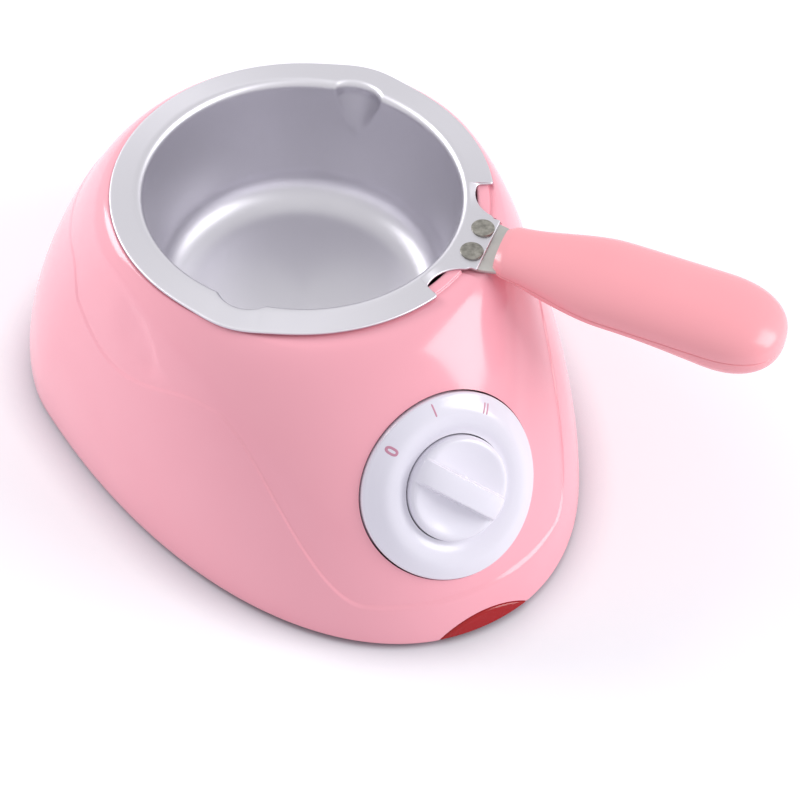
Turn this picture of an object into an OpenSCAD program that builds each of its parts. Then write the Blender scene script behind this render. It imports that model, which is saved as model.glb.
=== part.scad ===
// Electric fondue pot: a heated base with a dial, and a lift-out pot with a side handle.
// The origin is on the table, under the middle of the pot. +Z is up and the dial faces -Y.

/* [Body] */
// How far the body reaches in front of the pot's centre
body_front = 122.5; // [121:0.5:124]
// How far the body reaches behind the pot's centre
body_rear = 90; // [89:0.5:92]
// Half of the body's greatest width
body_half_w = 84; // [83:0.5:86]
// How far behind the pot's centre the body is widest
widest_y = 24; // [22:0.5:26]
// Height of the top ring that carries the pot
deck_z = 86; // [86:0.5:88]
// Outer radius of the top ring
deck_r = 60; // [60:0.1:61]
// Height of the step between the front panel and the skirt
crease_step = 0.8; // [0.4:0.1:1]
// Thickness of the moulded walls
wall = 2.5; // [2.4:0.1:2.7]

/* [Pot] */
// Inner radius of the bowl at its mouth
bowl_r = 51.8; // [51.5:0.1:52]
// Depth of the bowl below the flange
bowl_depth = 47; // [45:0.5:47]
// Outer radius of the flange
flange_r = 61; // [60.5:0.1:62]
// Thickness of the aluminium
sheet_t = 1; // [0.8:0.1:1]
// Direction of the handle, in degrees from +X
handle_dir = -50; // [-54:1:-48]

/* [Handle] */
// Distance from the pot's centre to the near end of the grip
grip_start = 66; // [66:0.5:68]
// Length of the grip
grip_len = 93.5; // [88:0.5:100]
// Half width of the grip at its near end
grip_neck_w = 9.5; // [9:0.1:11]
// Half width of the grip where it is fullest
grip_full_w = 17; // [16:0.1:18]

/* [Dial] */
// Tilt of the dial's axis above level, in degrees
dial_tilt = 31.6; // [30:0.1:33]
// Radius of the bezel
bezel_r = 30; // [29.5:0.1:30.2]
// Radius of the knob
knob_r = 16.8; // [16.4:0.1:17]

/* [Hidden] */
$fn = 96;
eps = 0.01;

pink = "lightpink";
white = "whitesmoke";
silver = "silver";
steel = "gray";

// Levels above the table
foot_z = 2;
cover_z = 2.4;
cover_top_z = 4.6;
deck_t = 4;
deck_under_z = deck_z - deck_t;
flange_z = deck_z + sheet_t;
bowl_floor_z = flange_z - bowl_depth;
bowl_under_z = bowl_floor_z - sheet_t;
well_floor_z = bowl_under_z - 0.5;
plate_under_z = well_floor_z - 1;
mica_t = 0.5;
element_t = 1.5;
element_top_z = plate_under_z - mica_t;
lower_mica_top_z = element_top_z - element_t;
clamp_top_z = lower_mica_top_z - mica_t;
clamp_z = clamp_top_z - 1;
shield_z = 18;
shield_t = 0.8;

// The body's plan at the foot is two half superellipses, a long one in front
nose_power = 2.13;
rear_power = 2;
// Control points of the body's side, as shares of the way in and up: at the sides, then at the front
side_low_in = -0.1;
side_low_up = 0.325;
side_high_out = 0.36;
front_low_in = 0.16;
front_low_up = 0.285;
front_high_out = 0.29;
body_steps = 96;

function spow(a, e) = sign(a) * pow(abs(a), e);
function smooth(a, b, x) = let (u = min(1, max(0, (x - a) / (b - a)))) u * u * (3 - 2 * u);
function unit(v) = v / norm(v);
function turned(th) = th > 180 ? 360 - th : th;

// A point of the foot's outline, at an angle from the front, drawn in by inset
function foot(th, inset) =
    let (c = cos(th), s = sin(th), ahead = c > 0)
    let (reach = (ahead ? body_front + widest_y : body_rear - widest_y) - inset)
    let (e = 2 / (ahead ? nose_power : rear_power))
    [(body_half_w - inset) * spow(s, e), widest_y - reach * spow(c, e)];

// The side rises along a cubic curve, which differs between the front and the rest
function blend(side, front, th) = side + (front - side) * pow(max(0, cos(th)), 2);
function drawn_in(t, th) =
    3 * t * pow(1 - t, 2) * blend(side_low_in, front_low_in, th)
    + 3 * t * t * (1 - t) * (1 - blend(side_high_out, front_high_out, th)) + pow(t, 3);
function risen(t, th) =
    3 * t * pow(1 - t, 2) * blend(side_low_up, front_low_up, th) + 3 * t * t * (1 - t) + pow(t, 3);
function skin(t, th, inset, top_r, top_z) =
    let (f = drawn_in(t, th), p = foot(th, inset))
    [p.x * (1 - f) + top_r * sin(th) * f, p.y * (1 - f) - top_r * cos(th) * f,
     foot_z + (top_z - foot_z) * risen(t, th)];

// Share of the height at which the crease runs: low round the dial, high along the sides
crease_low = 0.14;
crease_panel = 0.455;
crease_dip = 0.095;
crease_rear = 0.145;
function crease(th) =
    let (a = turned(th))
    crease_low + crease_panel * smooth(24, 54, a) - crease_dip * smooth(57, 78, a)
    + crease_rear * smooth(78, 104, a);

// Rings of the outer skin from the foot to the deck, with a step at the crease
skirt_rings = [0, 0.3, 0.55, 0.8, 1];
panel_rings = [0.03, 0.12, 0.24, 0.38, 0.52, 0.66, 0.8, 0.9, 1];
inner_rings = [1, 0.88, 0.74, 0.58, 0.42, 0.26, 0.12, 0];
ledge_r = 53;
function body_ring(kind, v) = [for (i = [0 : body_steps - 1]) let (th = 360 * i / body_steps, c = crease(th))
    kind == "skirt" ? skin(v * c, th, 0, deck_r, deck_z)
    : kind == "panel" ? skin(c + v * (1 - c), th, crease_step * (1 - smooth(0, 0.45, v)), deck_r, deck_z)
    : kind == "ledge" ? [ledge_r * sin(th), -ledge_r * cos(th), v]
    : skin(v, th, wall, deck_r - wall, deck_under_z)];

// Closes a stack of equal rings into a ring-shaped solid
module ring_solid(rings) {
    n = len(rings[0]);
    m = len(rings);
    polyhedron(
        points = [for (ring = rings) for (p = ring) p],
        faces = [for (j = [0 : m - 1]) for (i = [0 : n - 1]) for (half = [0, 1])
            let (a = j * n + i, b = j * n + (i + 1) % n)
            let (c = ((j + 1) % m) * n + (i + 1) % n, d = ((j + 1) % m) * n + i)
            half == 0 ? [a, c, b] : [a, d, c]]);
}

// Closes a stack of equal rings with a flat face at each end
module loft(rings) {
    n = len(rings[0]);
    m = len(rings);
    polyhedron(
        points = [for (ring = rings) for (p = ring) p],
        faces = concat(
            [[for (i = [0 : n - 1]) i]],
            [for (j = [0 : m - 2]) for (i = [0 : n - 1]) for (half = [0, 1])
                let (a = j * n + i, b = j * n + (i + 1) % n, c = b + n, d = a + n)
                half == 0 ? [a, c, b] : [a, d, c]],
            [[for (i = [n - 1 : -1 : 0]) (m - 1) * n + i]]));
}

// The dial's own frame: z leaves the dial, x is +X, and the origin is on the front panel
dial_y = -99.6;
dial_z = 45.9;
module at_dial() translate([0, dial_y, dial_z]) rotate([90 - dial_tilt, 0, 0]) children();
function dial_point(x, y, h) =
    [x, dial_y + y * sin(dial_tilt) - h * cos(dial_tilt), dial_z + y * cos(dial_tilt) + h * sin(dial_tilt)];
// How the front panel falls away from a flat plane round the dial
panel_sink = 0.45;
panel_curve_x = 76;
panel_curve_y = 300;
function panel_h(x, y) = -panel_sink - x * x / (2 * panel_curve_x) - y * y / (2 * panel_curve_y);

// The pot's own frame: x runs along the handle
module along_handle() rotate([0, 0, handle_dir]) children();

// Spouts stand square to the handle: a cone that bulges out of the bowl's wall
spout_x = 38;
spout_top_r = 18.2;
spout_low_r = 10;
spout_h = 25;
function spout_r(z) = spout_low_r + (spout_top_r - spout_low_r) * (z - flange_z + spout_h) / spout_h;
module spouts(grow, top_z) {
    along_handle()
        for (side = [90, 270])
            rotate([0, 0, side]) translate([spout_x, 0, flange_z - spout_h])
                cylinder(r1 = spout_low_r + grow, r2 = spout_r(top_z) + grow, h = top_z - flange_z + spout_h);
}

// A round cup with a soft lower corner
corner_steps = 8;
module cup(top_r, low_r, z_low, z_top, corner) {
    rotate_extrude()
        polygon(concat([[0, z_low]],
            [for (i = [0 : corner_steps]) let (a = 90 * i / corner_steps)
                [low_r - corner + corner * sin(a), z_low + corner - corner * cos(a)]],
            [[top_r, z_top], [0, z_top]]));
}

// A pan-head screw pointing down from the origin, with a cross slot
module screw(head_r, head_h, shank_r, shank_h) {
    difference() {
        union() {
            cylinder(r1 = head_r, r2 = head_r * 0.8, h = head_h);
            translate([0, 0, -shank_h]) cylinder(r = shank_r, h = shank_h + eps);
        }
        for (a = [0, 90])
            rotate([0, 0, a]) translate([-head_r * 0.6, -0.35, head_h * 0.45])
                cube([head_r * 1.2, 0.7, head_h]);
    }
}

// Screws that hold the bottom cover, near the wall
boss_angles = [48, 128, 232, 312];
boss_in = 10;
boss_r = 4.5;
boss_top_z = 17;
pilot_r = 1.45;
function boss_at(th) = foot(th, boss_in);

// Opening for the lamp's lens, an arch in the lower front edge
arch_half_w = 16.5;
arch_h = 5.5;
arch_r = (arch_half_w * arch_half_w + arch_h * arch_h) / (2 * arch_h);
module arch(gap, y0, y1)
    translate([0, y1, foot_z + arch_h - arch_r]) rotate([90, 0, 0]) cylinder(r = arch_r - gap, h = y1 - y0);

// Cord entry at the rear
gland_z = 12;
gland_bore_r = 3.5;
gland_neck_r = 5;
gland_rim_r = 7;
pad_y = body_rear - 0.8;

// Recess in the deck for the bracket
recess_half_w = 13;
recess_x = 46;
recess_len = 22;
bracket_t = 1.3;
recess_z = deck_z - bracket_t - 0.5;
deck_hole_r = 55.5;

module upper_housing() {
    color(pink)
    difference() {
        union() {
            ring_solid(concat(
                [for (v = skirt_rings) body_ring("skirt", v)],
                [for (v = panel_rings) body_ring("panel", v)],
                [body_ring("ledge", deck_z), body_ring("ledge", deck_under_z)],
                [for (v = inner_rings) body_ring("inner", v)]));
            for (th = boss_angles) let (p = boss_at(th)) {
                translate([p.x, p.y, cover_top_z]) cylinder(r = boss_r, h = boss_top_z - cover_top_z);
                translate([p.x, p.y, cover_top_z]) rotate([0, 0, atan2(p.y - widest_y, p.x)])
                    translate([0, -1.5, 0]) cube([boss_in - 2, 3, 6]);
            }
        }
        translate([0, 0, deck_under_z - 1]) cylinder(r = deck_hole_r, h = deck_t + 2);
        spouts(sheet_t + 0.8, deck_z + 1);
        intersection() {
            spouts(sheet_t + 2.1, deck_under_z);
            translate([0, 0, deck_under_z - 30]) cylinder(r = 70, h = 30);
        }
        along_handle() translate([recess_x, -recess_half_w, recess_z])
            cube([recess_len, 2 * recess_half_w, deck_t]);
        at_dial() translate([0, 0, -16]) cylinder(r = bezel_r + 0.5, h = 24);
        arch(0, -body_front - 5, -body_front + 16);
        translate([0, body_rear - 8, gland_z]) rotate([-90, 0, 0]) cylinder(r = gland_neck_r + 0.1, h = 12);
        translate([0, pad_y, gland_z]) rotate([-90, 0, 0]) cylinder(r = gland_rim_r + 0.3, h = 6);
        for (th = boss_angles) let (p = boss_at(th))
            translate([p.x, p.y, cover_top_z - 1]) cylinder(r = pilot_r, h = 11);
    }
}

cover_gap = 0.3;
// The wall leans in over the cover at the front, so the cover is drawn in there
cover_front_gap = 1.2;
function cover_inset(th) = wall + cover_gap + cover_front_gap * pow(max(0, cos(th)), 2);
foot_spots = [[56, -42], [-56, -42], [44, 62], [-44, 62]];
foot_pad_r = 7;
foot_stem_r = 3;
pillar_at = 44;
pillar_angles = [90, 210, 330];
pillar_r = 4;
block_y = 60;
clamp_y = 80;
clamp_x = 9;
lug_x = 16;
lug_z = 8;
module bottom_cover() {
    color(pink)
    difference() {
        union() {
            translate([0, 0, cover_z]) linear_extrude(cover_top_z - cover_z)
                polygon([for (i = [0 : body_steps - 1]) let (th = 360 * i / body_steps)
                    foot(th, cover_inset(th))]);
            for (a = pillar_angles)
                rotate([0, 0, a]) translate([pillar_at, 0, cover_top_z - eps])
                    cylinder(r = pillar_r, h = shield_z - cover_top_z + eps);
            for (x = [-lug_x, lug_x])
                translate([x, block_y + 6, cover_top_z - eps])
                    cylinder(r = 3.5, h = lug_z - cover_top_z + eps);
            for (x = [-clamp_x, clamp_x])
                translate([x, clamp_y, cover_top_z - eps])
                    cylinder(r = 3, h = gland_z + 3.5 - cover_top_z + eps);
        }
        for (th = boss_angles) let (p = boss_at(th)) translate([p.x, p.y, cover_z]) {
            translate([0, 0, -1]) cylinder(r = 1.6, h = 5);
            translate([0, 0, -eps]) cylinder(r = 3.6, h = 1.3);
        }
        for (p = foot_spots) translate([p.x, p.y, cover_z - 1]) cylinder(r = foot_stem_r, h = 5);
        for (a = pillar_angles)
            rotate([0, 0, a]) translate([pillar_at, 0, shield_z - 9]) cylinder(r = pilot_r, h = 10);
        for (x = [-lug_x, lug_x]) translate([x, block_y + 6, cover_z + 0.6]) cylinder(r = pilot_r, h = 9);
        for (x = [-clamp_x, clamp_x]) translate([x, clamp_y, gland_z - 6]) cylinder(r = pilot_r, h = 12);
        for (row = [-3 : 3]) translate([-15, row * 6 - 1.2, cover_z - 1]) cube([30, 2.4, 5]);
        translate([-arch_half_w, -body_front, cover_z - 1]) cube([2 * arch_half_w, 5.8, 4]);
    }
}

module rubber_feet() {
    color("dimgray")
    for (p = foot_spots) translate([p.x, p.y, 0]) {
        cylinder(r1 = foot_pad_r - 1, r2 = foot_pad_r, h = cover_z);
        translate([0, 0, cover_z - eps]) cylinder(r = foot_stem_r, h = cover_top_z - cover_z + 2 * eps);
        translate([0, 0, cover_top_z]) cylinder(r1 = foot_stem_r + 1.2, r2 = foot_stem_r - 0.6, h = 2);
    }
}

module cover_screws() {
    color(steel)
    for (th = boss_angles) let (p = boss_at(th))
        translate([p.x, p.y, cover_z + 1.29]) rotate([180, 0, 0]) screw(3.2, 1.2, 1.4, 10);
}

// The well is a pressed cup, whose rim is trapped under the deck
well_r = 54;
well_low_r = 50;
well_t = 1;
well_corner = 14;
rim_z = deck_under_z - 0.1;
stud_r = 2;
module well_cup() {
    color(silver)
    difference() {
        union() {
            cup(well_r + well_t, well_low_r + well_t, plate_under_z, rim_z, well_corner + 1);
            spouts(sheet_t + 0.8 + well_t, rim_z);
            translate([0, 0, rim_z - 1]) cylinder(r = well_r + 2.3, h = 1);
        }
        cup(well_r, well_low_r, well_floor_z, rim_z + 2, well_corner);
        spouts(sheet_t + 0.8, rim_z + 2);
        translate([0, 0, plate_under_z - 1]) cylinder(r = stud_r, h = 3);
    }
}

module well_stud() {
    color(steel) {
        translate([0, 0, 12]) cylinder(r = stud_r, h = well_floor_z - 12);
    }
}

element_r = 36;
module mica(z) {
    color("tan")
    translate([0, 0, z])
    difference() {
        cylinder(r = element_r + 2, h = mica_t);
        translate([0, 0, -1]) cylinder(r = stud_r + 0.3, h = 3);
    }
}
module upper_mica() mica(plate_under_z - mica_t);

tag_at = [-20, -22];
tag_spread = 16;
module tag_slots(z, h)
    for (side = [0, 1]) translate([tag_at.x + side * tag_spread - 4, tag_at.y - 1, z]) cube([8, 2, h]);

module lower_mica() {
    difference() {
        mica(clamp_top_z);
        color("tan") tag_slots(clamp_top_z - 1, 3);
    }
}

module heating_element() {
    color("slategray") {
        translate([0, 0, lower_mica_top_z])
        difference() {
            cylinder(r = element_r, h = element_t);
            translate([0, 0, -1]) cylinder(r = 9, h = element_t + 2);
            for (r = [15 : 6 : 33])
                translate([0, 0, -eps]) difference() {
                    cylinder(r = r + 1, h = 0.5);
                    translate([0, 0, -1]) cylinder(r = r - 1, h = 3);
                }
        }
        for (side = [0, 1])
            translate([tag_at.x + side * tag_spread - 3.2, tag_at.y - 0.4, clamp_z - 8])
                cube([6.4, 0.8, lower_mica_top_z - clamp_z + 8 + eps]);
    }
}

module clamp_plate() {
    color(silver)
    difference() {
        translate([0, 0, clamp_z]) cylinder(r = element_r + 2, h = 1);
        translate([0, 0, clamp_z - 1]) cylinder(r = stud_r + 0.3, h = 3);
        tag_slots(clamp_z - 1, 3);
        for (x = strap_screw_x) translate([x, thermostat_y, clamp_z - 1]) cylinder(r = 1.3, h = 3);
    }
}

nut_r = 4.2;
nut_h = 3;
module nut(z)
    translate([0, 0, z])
    difference() {
        cylinder(r = nut_r, h = nut_h, $fn = 6);
        translate([0, 0, -1]) cylinder(r = stud_r + eps, h = nut_h + 2);
    }
module stud_nuts() {
    color(steel) {
        nut(clamp_z - nut_h);
        nut(shield_z - nut_h);
        nut(shield_z + shield_t);
    }
}

shield_r = 48;
shield_rim_h = 6;
module heat_shield() {
    color(silver)
    difference() {
        translate([0, 0, shield_z]) union() {
            cylinder(r = shield_r, h = shield_t);
            difference() {
                cylinder(r = shield_r, h = shield_rim_h);
                translate([0, 0, -1]) cylinder(r = shield_r - shield_t, h = shield_rim_h + 2);
            }
        }
        translate([0, 0, shield_z - 1]) cylinder(r = stud_r + 0.3, h = 3);
        for (a = pillar_angles)
            rotate([0, 0, a]) translate([pillar_at, 0, shield_z - 1]) cylinder(r = 1.6, h = 3);
        translate([-14, -shield_r - 1, shield_z - 1]) cube([28, 16, shield_rim_h + 2]);
        translate([-12, shield_r - 15, shield_z - 1]) cube([24, 16, shield_rim_h + 2]);
    }
}

module shield_screws() {
    color(steel)
    for (a = [210, 330])
        rotate([0, 0, a]) translate([pillar_at, 0, shield_z + shield_t]) screw(2.8, 1.6, 1.4, 7);
}

// The thermostat hangs under the clamp plate in a strap
thermostat_x = 18;
thermostat_y = 12;
thermostat_r = 8;
thermostat_h = 7;
strap_screw_x = [thermostat_x - 12.5, thermostat_x + 12.5];
blade_z = clamp_z - thermostat_h;
module thermostat() {
    color("black")
    translate([thermostat_x, thermostat_y, blade_z]) {
        cylinder(r = thermostat_r, h = thermostat_h);
        for (side = [-1, 1]) translate([side * 5 - 0.4, -8 - 6, 1.5]) cube([0.8, 8, 4]);
    }
}
module thermostat_strap() {
    color(silver)
    difference() {
        union() {
            translate([thermostat_x - 15.5, thermostat_y - 3, clamp_z - 0.8]) cube([6.4, 6, 0.8]);
            translate([thermostat_x + 9.1, thermostat_y - 3, clamp_z - 0.8]) cube([6.4, 6, 0.8]);
            for (side = [-1, 1])
                translate([thermostat_x + side * 8.75 - 0.4, thermostat_y - 3, blade_z - 0.8])
                    cube([0.8, 6, thermostat_h + 0.8]);
            translate([thermostat_x - 8.75, thermostat_y - 3, blade_z - 0.8]) cube([17.5, 6, 0.8]);
        }
        for (x = strap_screw_x) translate([x, thermostat_y, clamp_z - 2]) cylinder(r = 1.3, h = 3);
    }
}

// The thermal fuse lies in a woven sleeve beside the thermostat
fuse_y = -6;
fuse_x = -30;
fuse_z = clamp_z - 3.5;
module thermal_fuse() {
    color("goldenrod")
    translate([fuse_x, fuse_y, fuse_z]) rotate([0, 90, 0]) {
        cylinder(r = 2, h = 12);
        translate([0, 0, -5]) cylinder(r = 0.5, h = 22);
    }
}
module fuse_sleeve() {
    color(white)
    translate([fuse_x - 2, fuse_y, fuse_z]) rotate([0, 90, 0])
    difference() {
        cylinder(r = 2.8, h = 16);
        translate([0, 0, -1]) cylinder(r = 2.1, h = 18);
    }
}

// The bezel's face follows the front panel at its rim and is level round the knob
recess_r = knob_r + 0.5;
cup_r = recess_r + 2;
cup_floor_h = -5;
cup_under_h = -6.5;
bezel_steps = 72;
// Radius from the knob's gap to the rim, and height of the face above the panel
bezel_face = [[0, -0.6], [0.1, -0.5], [0.3, 0.6], [0.55, 1.8],
    [0.75, 1.9], [0.92, 1.5], [0.985, 1.1], [1, 0.5]];
bezel_t = 2;
bezel_skirt_h = -12;
bezel_skirt_t = 1.8;
bezel_skirt_r = bezel_r - 0.2;
hub_hole_r = 5.1;
function bezel_radius(v) = recess_r + (bezel_r - recess_r) * v;
function bezel_ring(r, h, follow) = [for (i = [0 : bezel_steps - 1]) let (a = 360 * i / bezel_steps)
    [r * cos(a), r * sin(a), h + follow * panel_h(r * cos(a), r * sin(a))]];
function face_ring(k, drop) = let (row = bezel_face[k])
    bezel_ring(bezel_radius(row[0]), row[1] - drop, smooth(0, 1, row[0]));
pillar_x = 23;
// One ring of rings: down the skirt, under the face, round the knob's recess, and back over the face
module dial_bezel() {
    color(white)
    at_dial()
    difference() {
        union() {
            ring_solid(concat(
                [for (k = [len(bezel_face) - 1 : -1 : 0]) face_ring(k, 0)],
                [bezel_ring(recess_r, cup_floor_h, 0), bezel_ring(hub_hole_r, cup_floor_h, 0),
                 bezel_ring(hub_hole_r, cup_under_h, 0), bezel_ring(cup_r, cup_under_h, 0)],
                [for (k = [2 : len(bezel_face) - 4]) face_ring(k, bezel_t)],
                [bezel_ring(bezel_skirt_r - bezel_skirt_t, -bezel_t, 1),
                 bezel_ring(bezel_skirt_r - bezel_skirt_t, bezel_skirt_h, 0),
                 bezel_ring(bezel_skirt_r, bezel_skirt_h, 0), bezel_ring(bezel_skirt_r, -0.6, 1)]));
            for (x = [-pillar_x, pillar_x]) translate([x, 0, -9]) cylinder(r = 3, h = 6.9);
        }
        for (x = [-pillar_x, pillar_x]) translate([x, 0, -10]) cylinder(r = 1.15, h = 6.5);
    }
}

// The rotary switch behind the bezel
case_x = 28;
case_y = 26;
case_front_h = -9;
case_split_h = -11;
case_rear_h = -22;
bush_r = 5;
shaft_r = 3;
shaft_gap = 0.05;
chamber_r = 10.5;
chamber_h = -20.5;
contact_x = [-8, 0, 8];
contact_len = 7;
// Middle of a contact's free end, or a point further out along it
function contact_end(k, out) = dial_point(contact_x[k], -8.05, case_rear_h - contact_len - out);
module switch_cover() {
    color("dimgray")
    at_dial()
    difference() {
        union() {
            translate([-case_x / 2, -case_y / 2, case_split_h])
                cube([case_x, case_y, case_front_h - case_split_h]);
            translate([-27, -4, case_split_h]) cube([54, 8, case_front_h - case_split_h]);
            translate([0, 0, case_front_h - eps]) cylinder(r = bush_r, h = 4.1);
        }
        translate([0, 0, case_split_h - 1]) cylinder(r = shaft_r + shaft_gap, h = 12);
        for (x = [-pillar_x, pillar_x]) translate([x, 0, case_split_h - 1]) cylinder(r = 1.4, h = 4);
    }
}
module switch_base() {
    color("dimgray")
    at_dial()
    difference() {
        translate([-case_x / 2, -case_y / 2, case_rear_h])
            cube([case_x, case_y, case_split_h - case_rear_h]);
        translate([0, 0, chamber_h]) cylinder(r = chamber_r, h = 12);
        translate([9, -4.5, -18]) cube([4.2, 9, 8]);
        translate([0, 0, -21.5]) cylinder(r = 2 + shaft_gap, h = 2);
        for (x = contact_x) translate([x - 2.5, -8.5, case_rear_h - 1]) cube([5, 0.9, 4]);
    }
}
module switch_contacts() {
    color("goldenrod")
    at_dial()
    for (x = contact_x)
        translate([x - 2.4, -8.45, case_rear_h - contact_len]) cube([4.8, 0.8, contact_len + 1]);
}
module switch_screws() {
    color(steel)
    at_dial()
    for (x = [-pillar_x, pillar_x])
        translate([x, 0, case_split_h]) rotate([180, 0, 0]) screw(2.4, 1.5, 1.1, 7);
}
notch_at = 11.2;
module detent_ball() {
    color(silver)
    at_dial() translate([notch_at, 0, -15.5]) sphere(r = 1.4, $fn = 48);
}
module detent_leaf() {
    color(silver)
    at_dial() translate([notch_at + 1.45, -4.3, -17.5]) cube([0.4, 8.6, 4]);
}

// Moving part of the switch, and the knob on its shaft
module switch_shaft() {
    color(silver)
    at_dial()
    difference() {
        union() {
            translate([0, 0, -20]) cylinder(r = shaft_r, h = 23);
            translate([0, 0, -21.3]) cylinder(r = 2, h = 1.4);
        }
        translate([1.7, -4, -4.6]) cube([4, 8, 10]);
    }
}
notch_step = 40;
module detent_rotor() {
    color("ivory")
    at_dial()
    difference() {
        translate([0, 0, -19.5]) cylinder(r = 9.5, h = 7.5);
        translate([0, 0, -20]) cylinder(r = shaft_r, h = 10);
        for (k = [0 : 2])
            rotate([0, 0, k * notch_step]) translate([notch_at, 0, -20]) cylinder(r = 2.2, h = 10);
        translate([-12, -2, -20]) cube([4, 4, 4]);
    }
}

grip_angle = 134;
grip_half_w = 3.6;
knob_low_h = -3.5;
// Radius share and height of the domed face
knob_face = [[1, 1.0], [0.985, 1.9], [0.94, 2.6], [0.85, 3.1], [0.6, 3.4], [0.3, 3.5], [0, 3.5]];
grip_face = [[0.985, 1.2], [0.96, 3.0], [0.88, 4.8], [0.74, 6.1], [0.5, 7.0], [0.25, 7.4], [0, 7.5]];
module turned_face(rows, low)
    rotate_extrude() polygon(concat(
        [[0, low], [rows[0][0] * knob_r, low]],
        [for (p = rows) [p[0] * knob_r, p[1]]]));
module knob() {
    color(white)
    at_dial()
    difference() {
        union() {
            difference() {
                turned_face(knob_face, knob_low_h);
                translate([0, 0, knob_low_h - 1]) cylinder(r = knob_r - 2, h = 3);
            }
            rotate([0, 0, grip_angle]) intersection() {
                turned_face(grip_face, 0);
                translate([-knob_r, -grip_half_w, 0]) cube([2 * knob_r, 2 * grip_half_w, 12]);
            }
            translate([0, 0, -4.4]) cylinder(r = 5.6, h = 5);
        }
        difference() {
            translate([0, 0, -6]) cylinder(r = shaft_r + 0.02, h = 9.2);
            translate([2.3, -4, -4.6]) cube([4, 8, 12]);
        }
    }
}
module knob_spring() {
    color(silver)
    at_dial() translate([1.75, -1.6, -3.4]) cube([0.5, 3.2, 6]);
}

// The lens fills the arch and swells a little past the body
nose_r = 63;
lens_front = body_front + 0.5;
lens_lean = 0.42;
lens_z = foot_z + 0.2;
lens_h = 5.4;
module lens_sheet(front, back, z, h)
    intersection() {
        translate([0, nose_r - lens_front, z]) difference() {
            cylinder(r1 = nose_r - front, r2 = nose_r - front - lens_lean * h, h = h);
            translate([0, 0, -1]) cylinder(r = nose_r - back, h = h + 2);
        }
        translate([-30, -140, 0]) cube([60, 60, 20]);
    }
module lamp_lens() {
    color("red") {
        intersection() {
            lens_sheet(0, 3.6, lens_z, lens_h);
            arch(0.15, -body_front - 5, -body_front + 16);
        }
    }
}
lamp_y = -112;
lamp_z = 9;
lamp_r = 2.6;
module neon_lamp() {
    color("orange")
    translate([-7, lamp_y, lamp_z]) {
        rotate([0, 90, 0]) cylinder(r = lamp_r, h = 13);
        sphere(r = lamp_r, $fn = 48);
    }
}
module lamp_holder() {
    color(white)
    difference() {
        translate([-1, lamp_y - 3.6, cover_top_z]) cube([6, 7.2, lamp_z - cover_top_z + 1.5]);
        translate([-2, lamp_y, lamp_z]) rotate([0, 90, 0]) cylinder(r = lamp_r, h = 8);
    }
}
module lamp_resistor() {
    color("beige")
    translate([16, lamp_y + 8, lamp_z]) rotate([-90, 0, 0]) {
        cylinder(r = 1.3, h = 7);
        translate([0, 0, -2]) cylinder(r = 0.4, h = 11);
    }
}

// Terminal block, where the cord's cores end
block_w = 24;
block_d = 12;
core_x = [-8, 0, 8];
core_r = 2.1;
core_z = 9;
block_top_z = 15.6;
module terminal_block() {
    color(white)
    difference() {
        union() {
            translate([-block_w / 2, block_y, cover_top_z])
                cube([block_w, block_d, block_top_z - cover_top_z]);
            translate([-19, block_y + 2.5, lug_z]) cube([38, 7, 2]);
        }
        for (x = core_x) {
            translate([x, block_y - 1, core_z]) rotate([-90, 0, 0]) cylinder(r = core_r, h = block_d + 2);
            for (y = [3, 9]) translate([x, block_y + y, core_z]) cylinder(r = 1.9, h = 9);
        }
        for (x = [-lug_x, lug_x]) translate([x, block_y + 6, lug_z - 1]) cylinder(r = 1.6, h = 5);
    }
}
module terminal_screws() {
    color("goldenrod")
    for (x = core_x) for (y = [3, 9])
        translate([x, block_y + y, core_z + lead_r]) difference() {
            cylinder(r = 1.8, h = 4.9);
            translate([-2, -0.3, 4.1]) cube([4, 0.6, 2]);
        }
}
module block_screws() {
    color(steel)
    for (x = [-lug_x, lug_x]) translate([x, block_y + 6, lug_z + 2]) screw(2.6, 1.5, 1.4, 6);
}

module cord_gland() {
    color("dimgray")
    translate([0, body_rear, gland_z]) rotate([-90, 0, 0])
    difference() {
        union() {
            translate([0, 0, pad_y - body_rear]) cylinder(r1 = gland_rim_r, r2 = gland_rim_r - 1.5, h = 3);
            translate([0, 0, -6]) cylinder(r = gland_neck_r, h = 6);
            translate([0, 0, -5]) cylinder(r = gland_rim_r - 0.6, h = 1.6);
        }
        translate([0, 0, -7]) cylinder(r = gland_bore_r, h = 12);
    }
}
clamp_bar_z = gland_z + 3.5;
module cord_clamp() {
    color(white)
    translate([0, clamp_y, clamp_bar_z])
    difference() {
        translate([-clamp_x - 4, -3, 0]) cube([2 * clamp_x + 8, 6, 2.5]);
        for (x = [-clamp_x, clamp_x]) translate([x, 0, -1]) cylinder(r = 1.6, h = 5);
    }
}
module clamp_screws() {
    color(steel)
    for (x = [-clamp_x, clamp_x]) translate([x, clamp_y, clamp_bar_z + 2.5]) screw(2.6, 1.5, 1.4, 8);
}

// Leads are round tubes along smooth curves through hand-chosen points
lead_r = 1.1;
lead_sides = 8;
lead_steps = 4;
function curve_point(p, i, u) =
    let (n = len(p) - 1, a = p[max(0, i - 1)], b = p[i], c = p[min(n, i + 1)], d = p[min(n, i + 2)])
    b + (c - a) * u / 2 + (2 * a - 5 * b + 4 * c - d) * u * u / 2
    + (3 * b - a - 3 * c + d) * u * u * u / 2;
function curve(p) = concat(
    [for (i = [0 : len(p) - 2]) for (k = [0 : lead_steps - 1]) curve_point(p, i, k / lead_steps)],
    [p[len(p) - 1]]);
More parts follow.
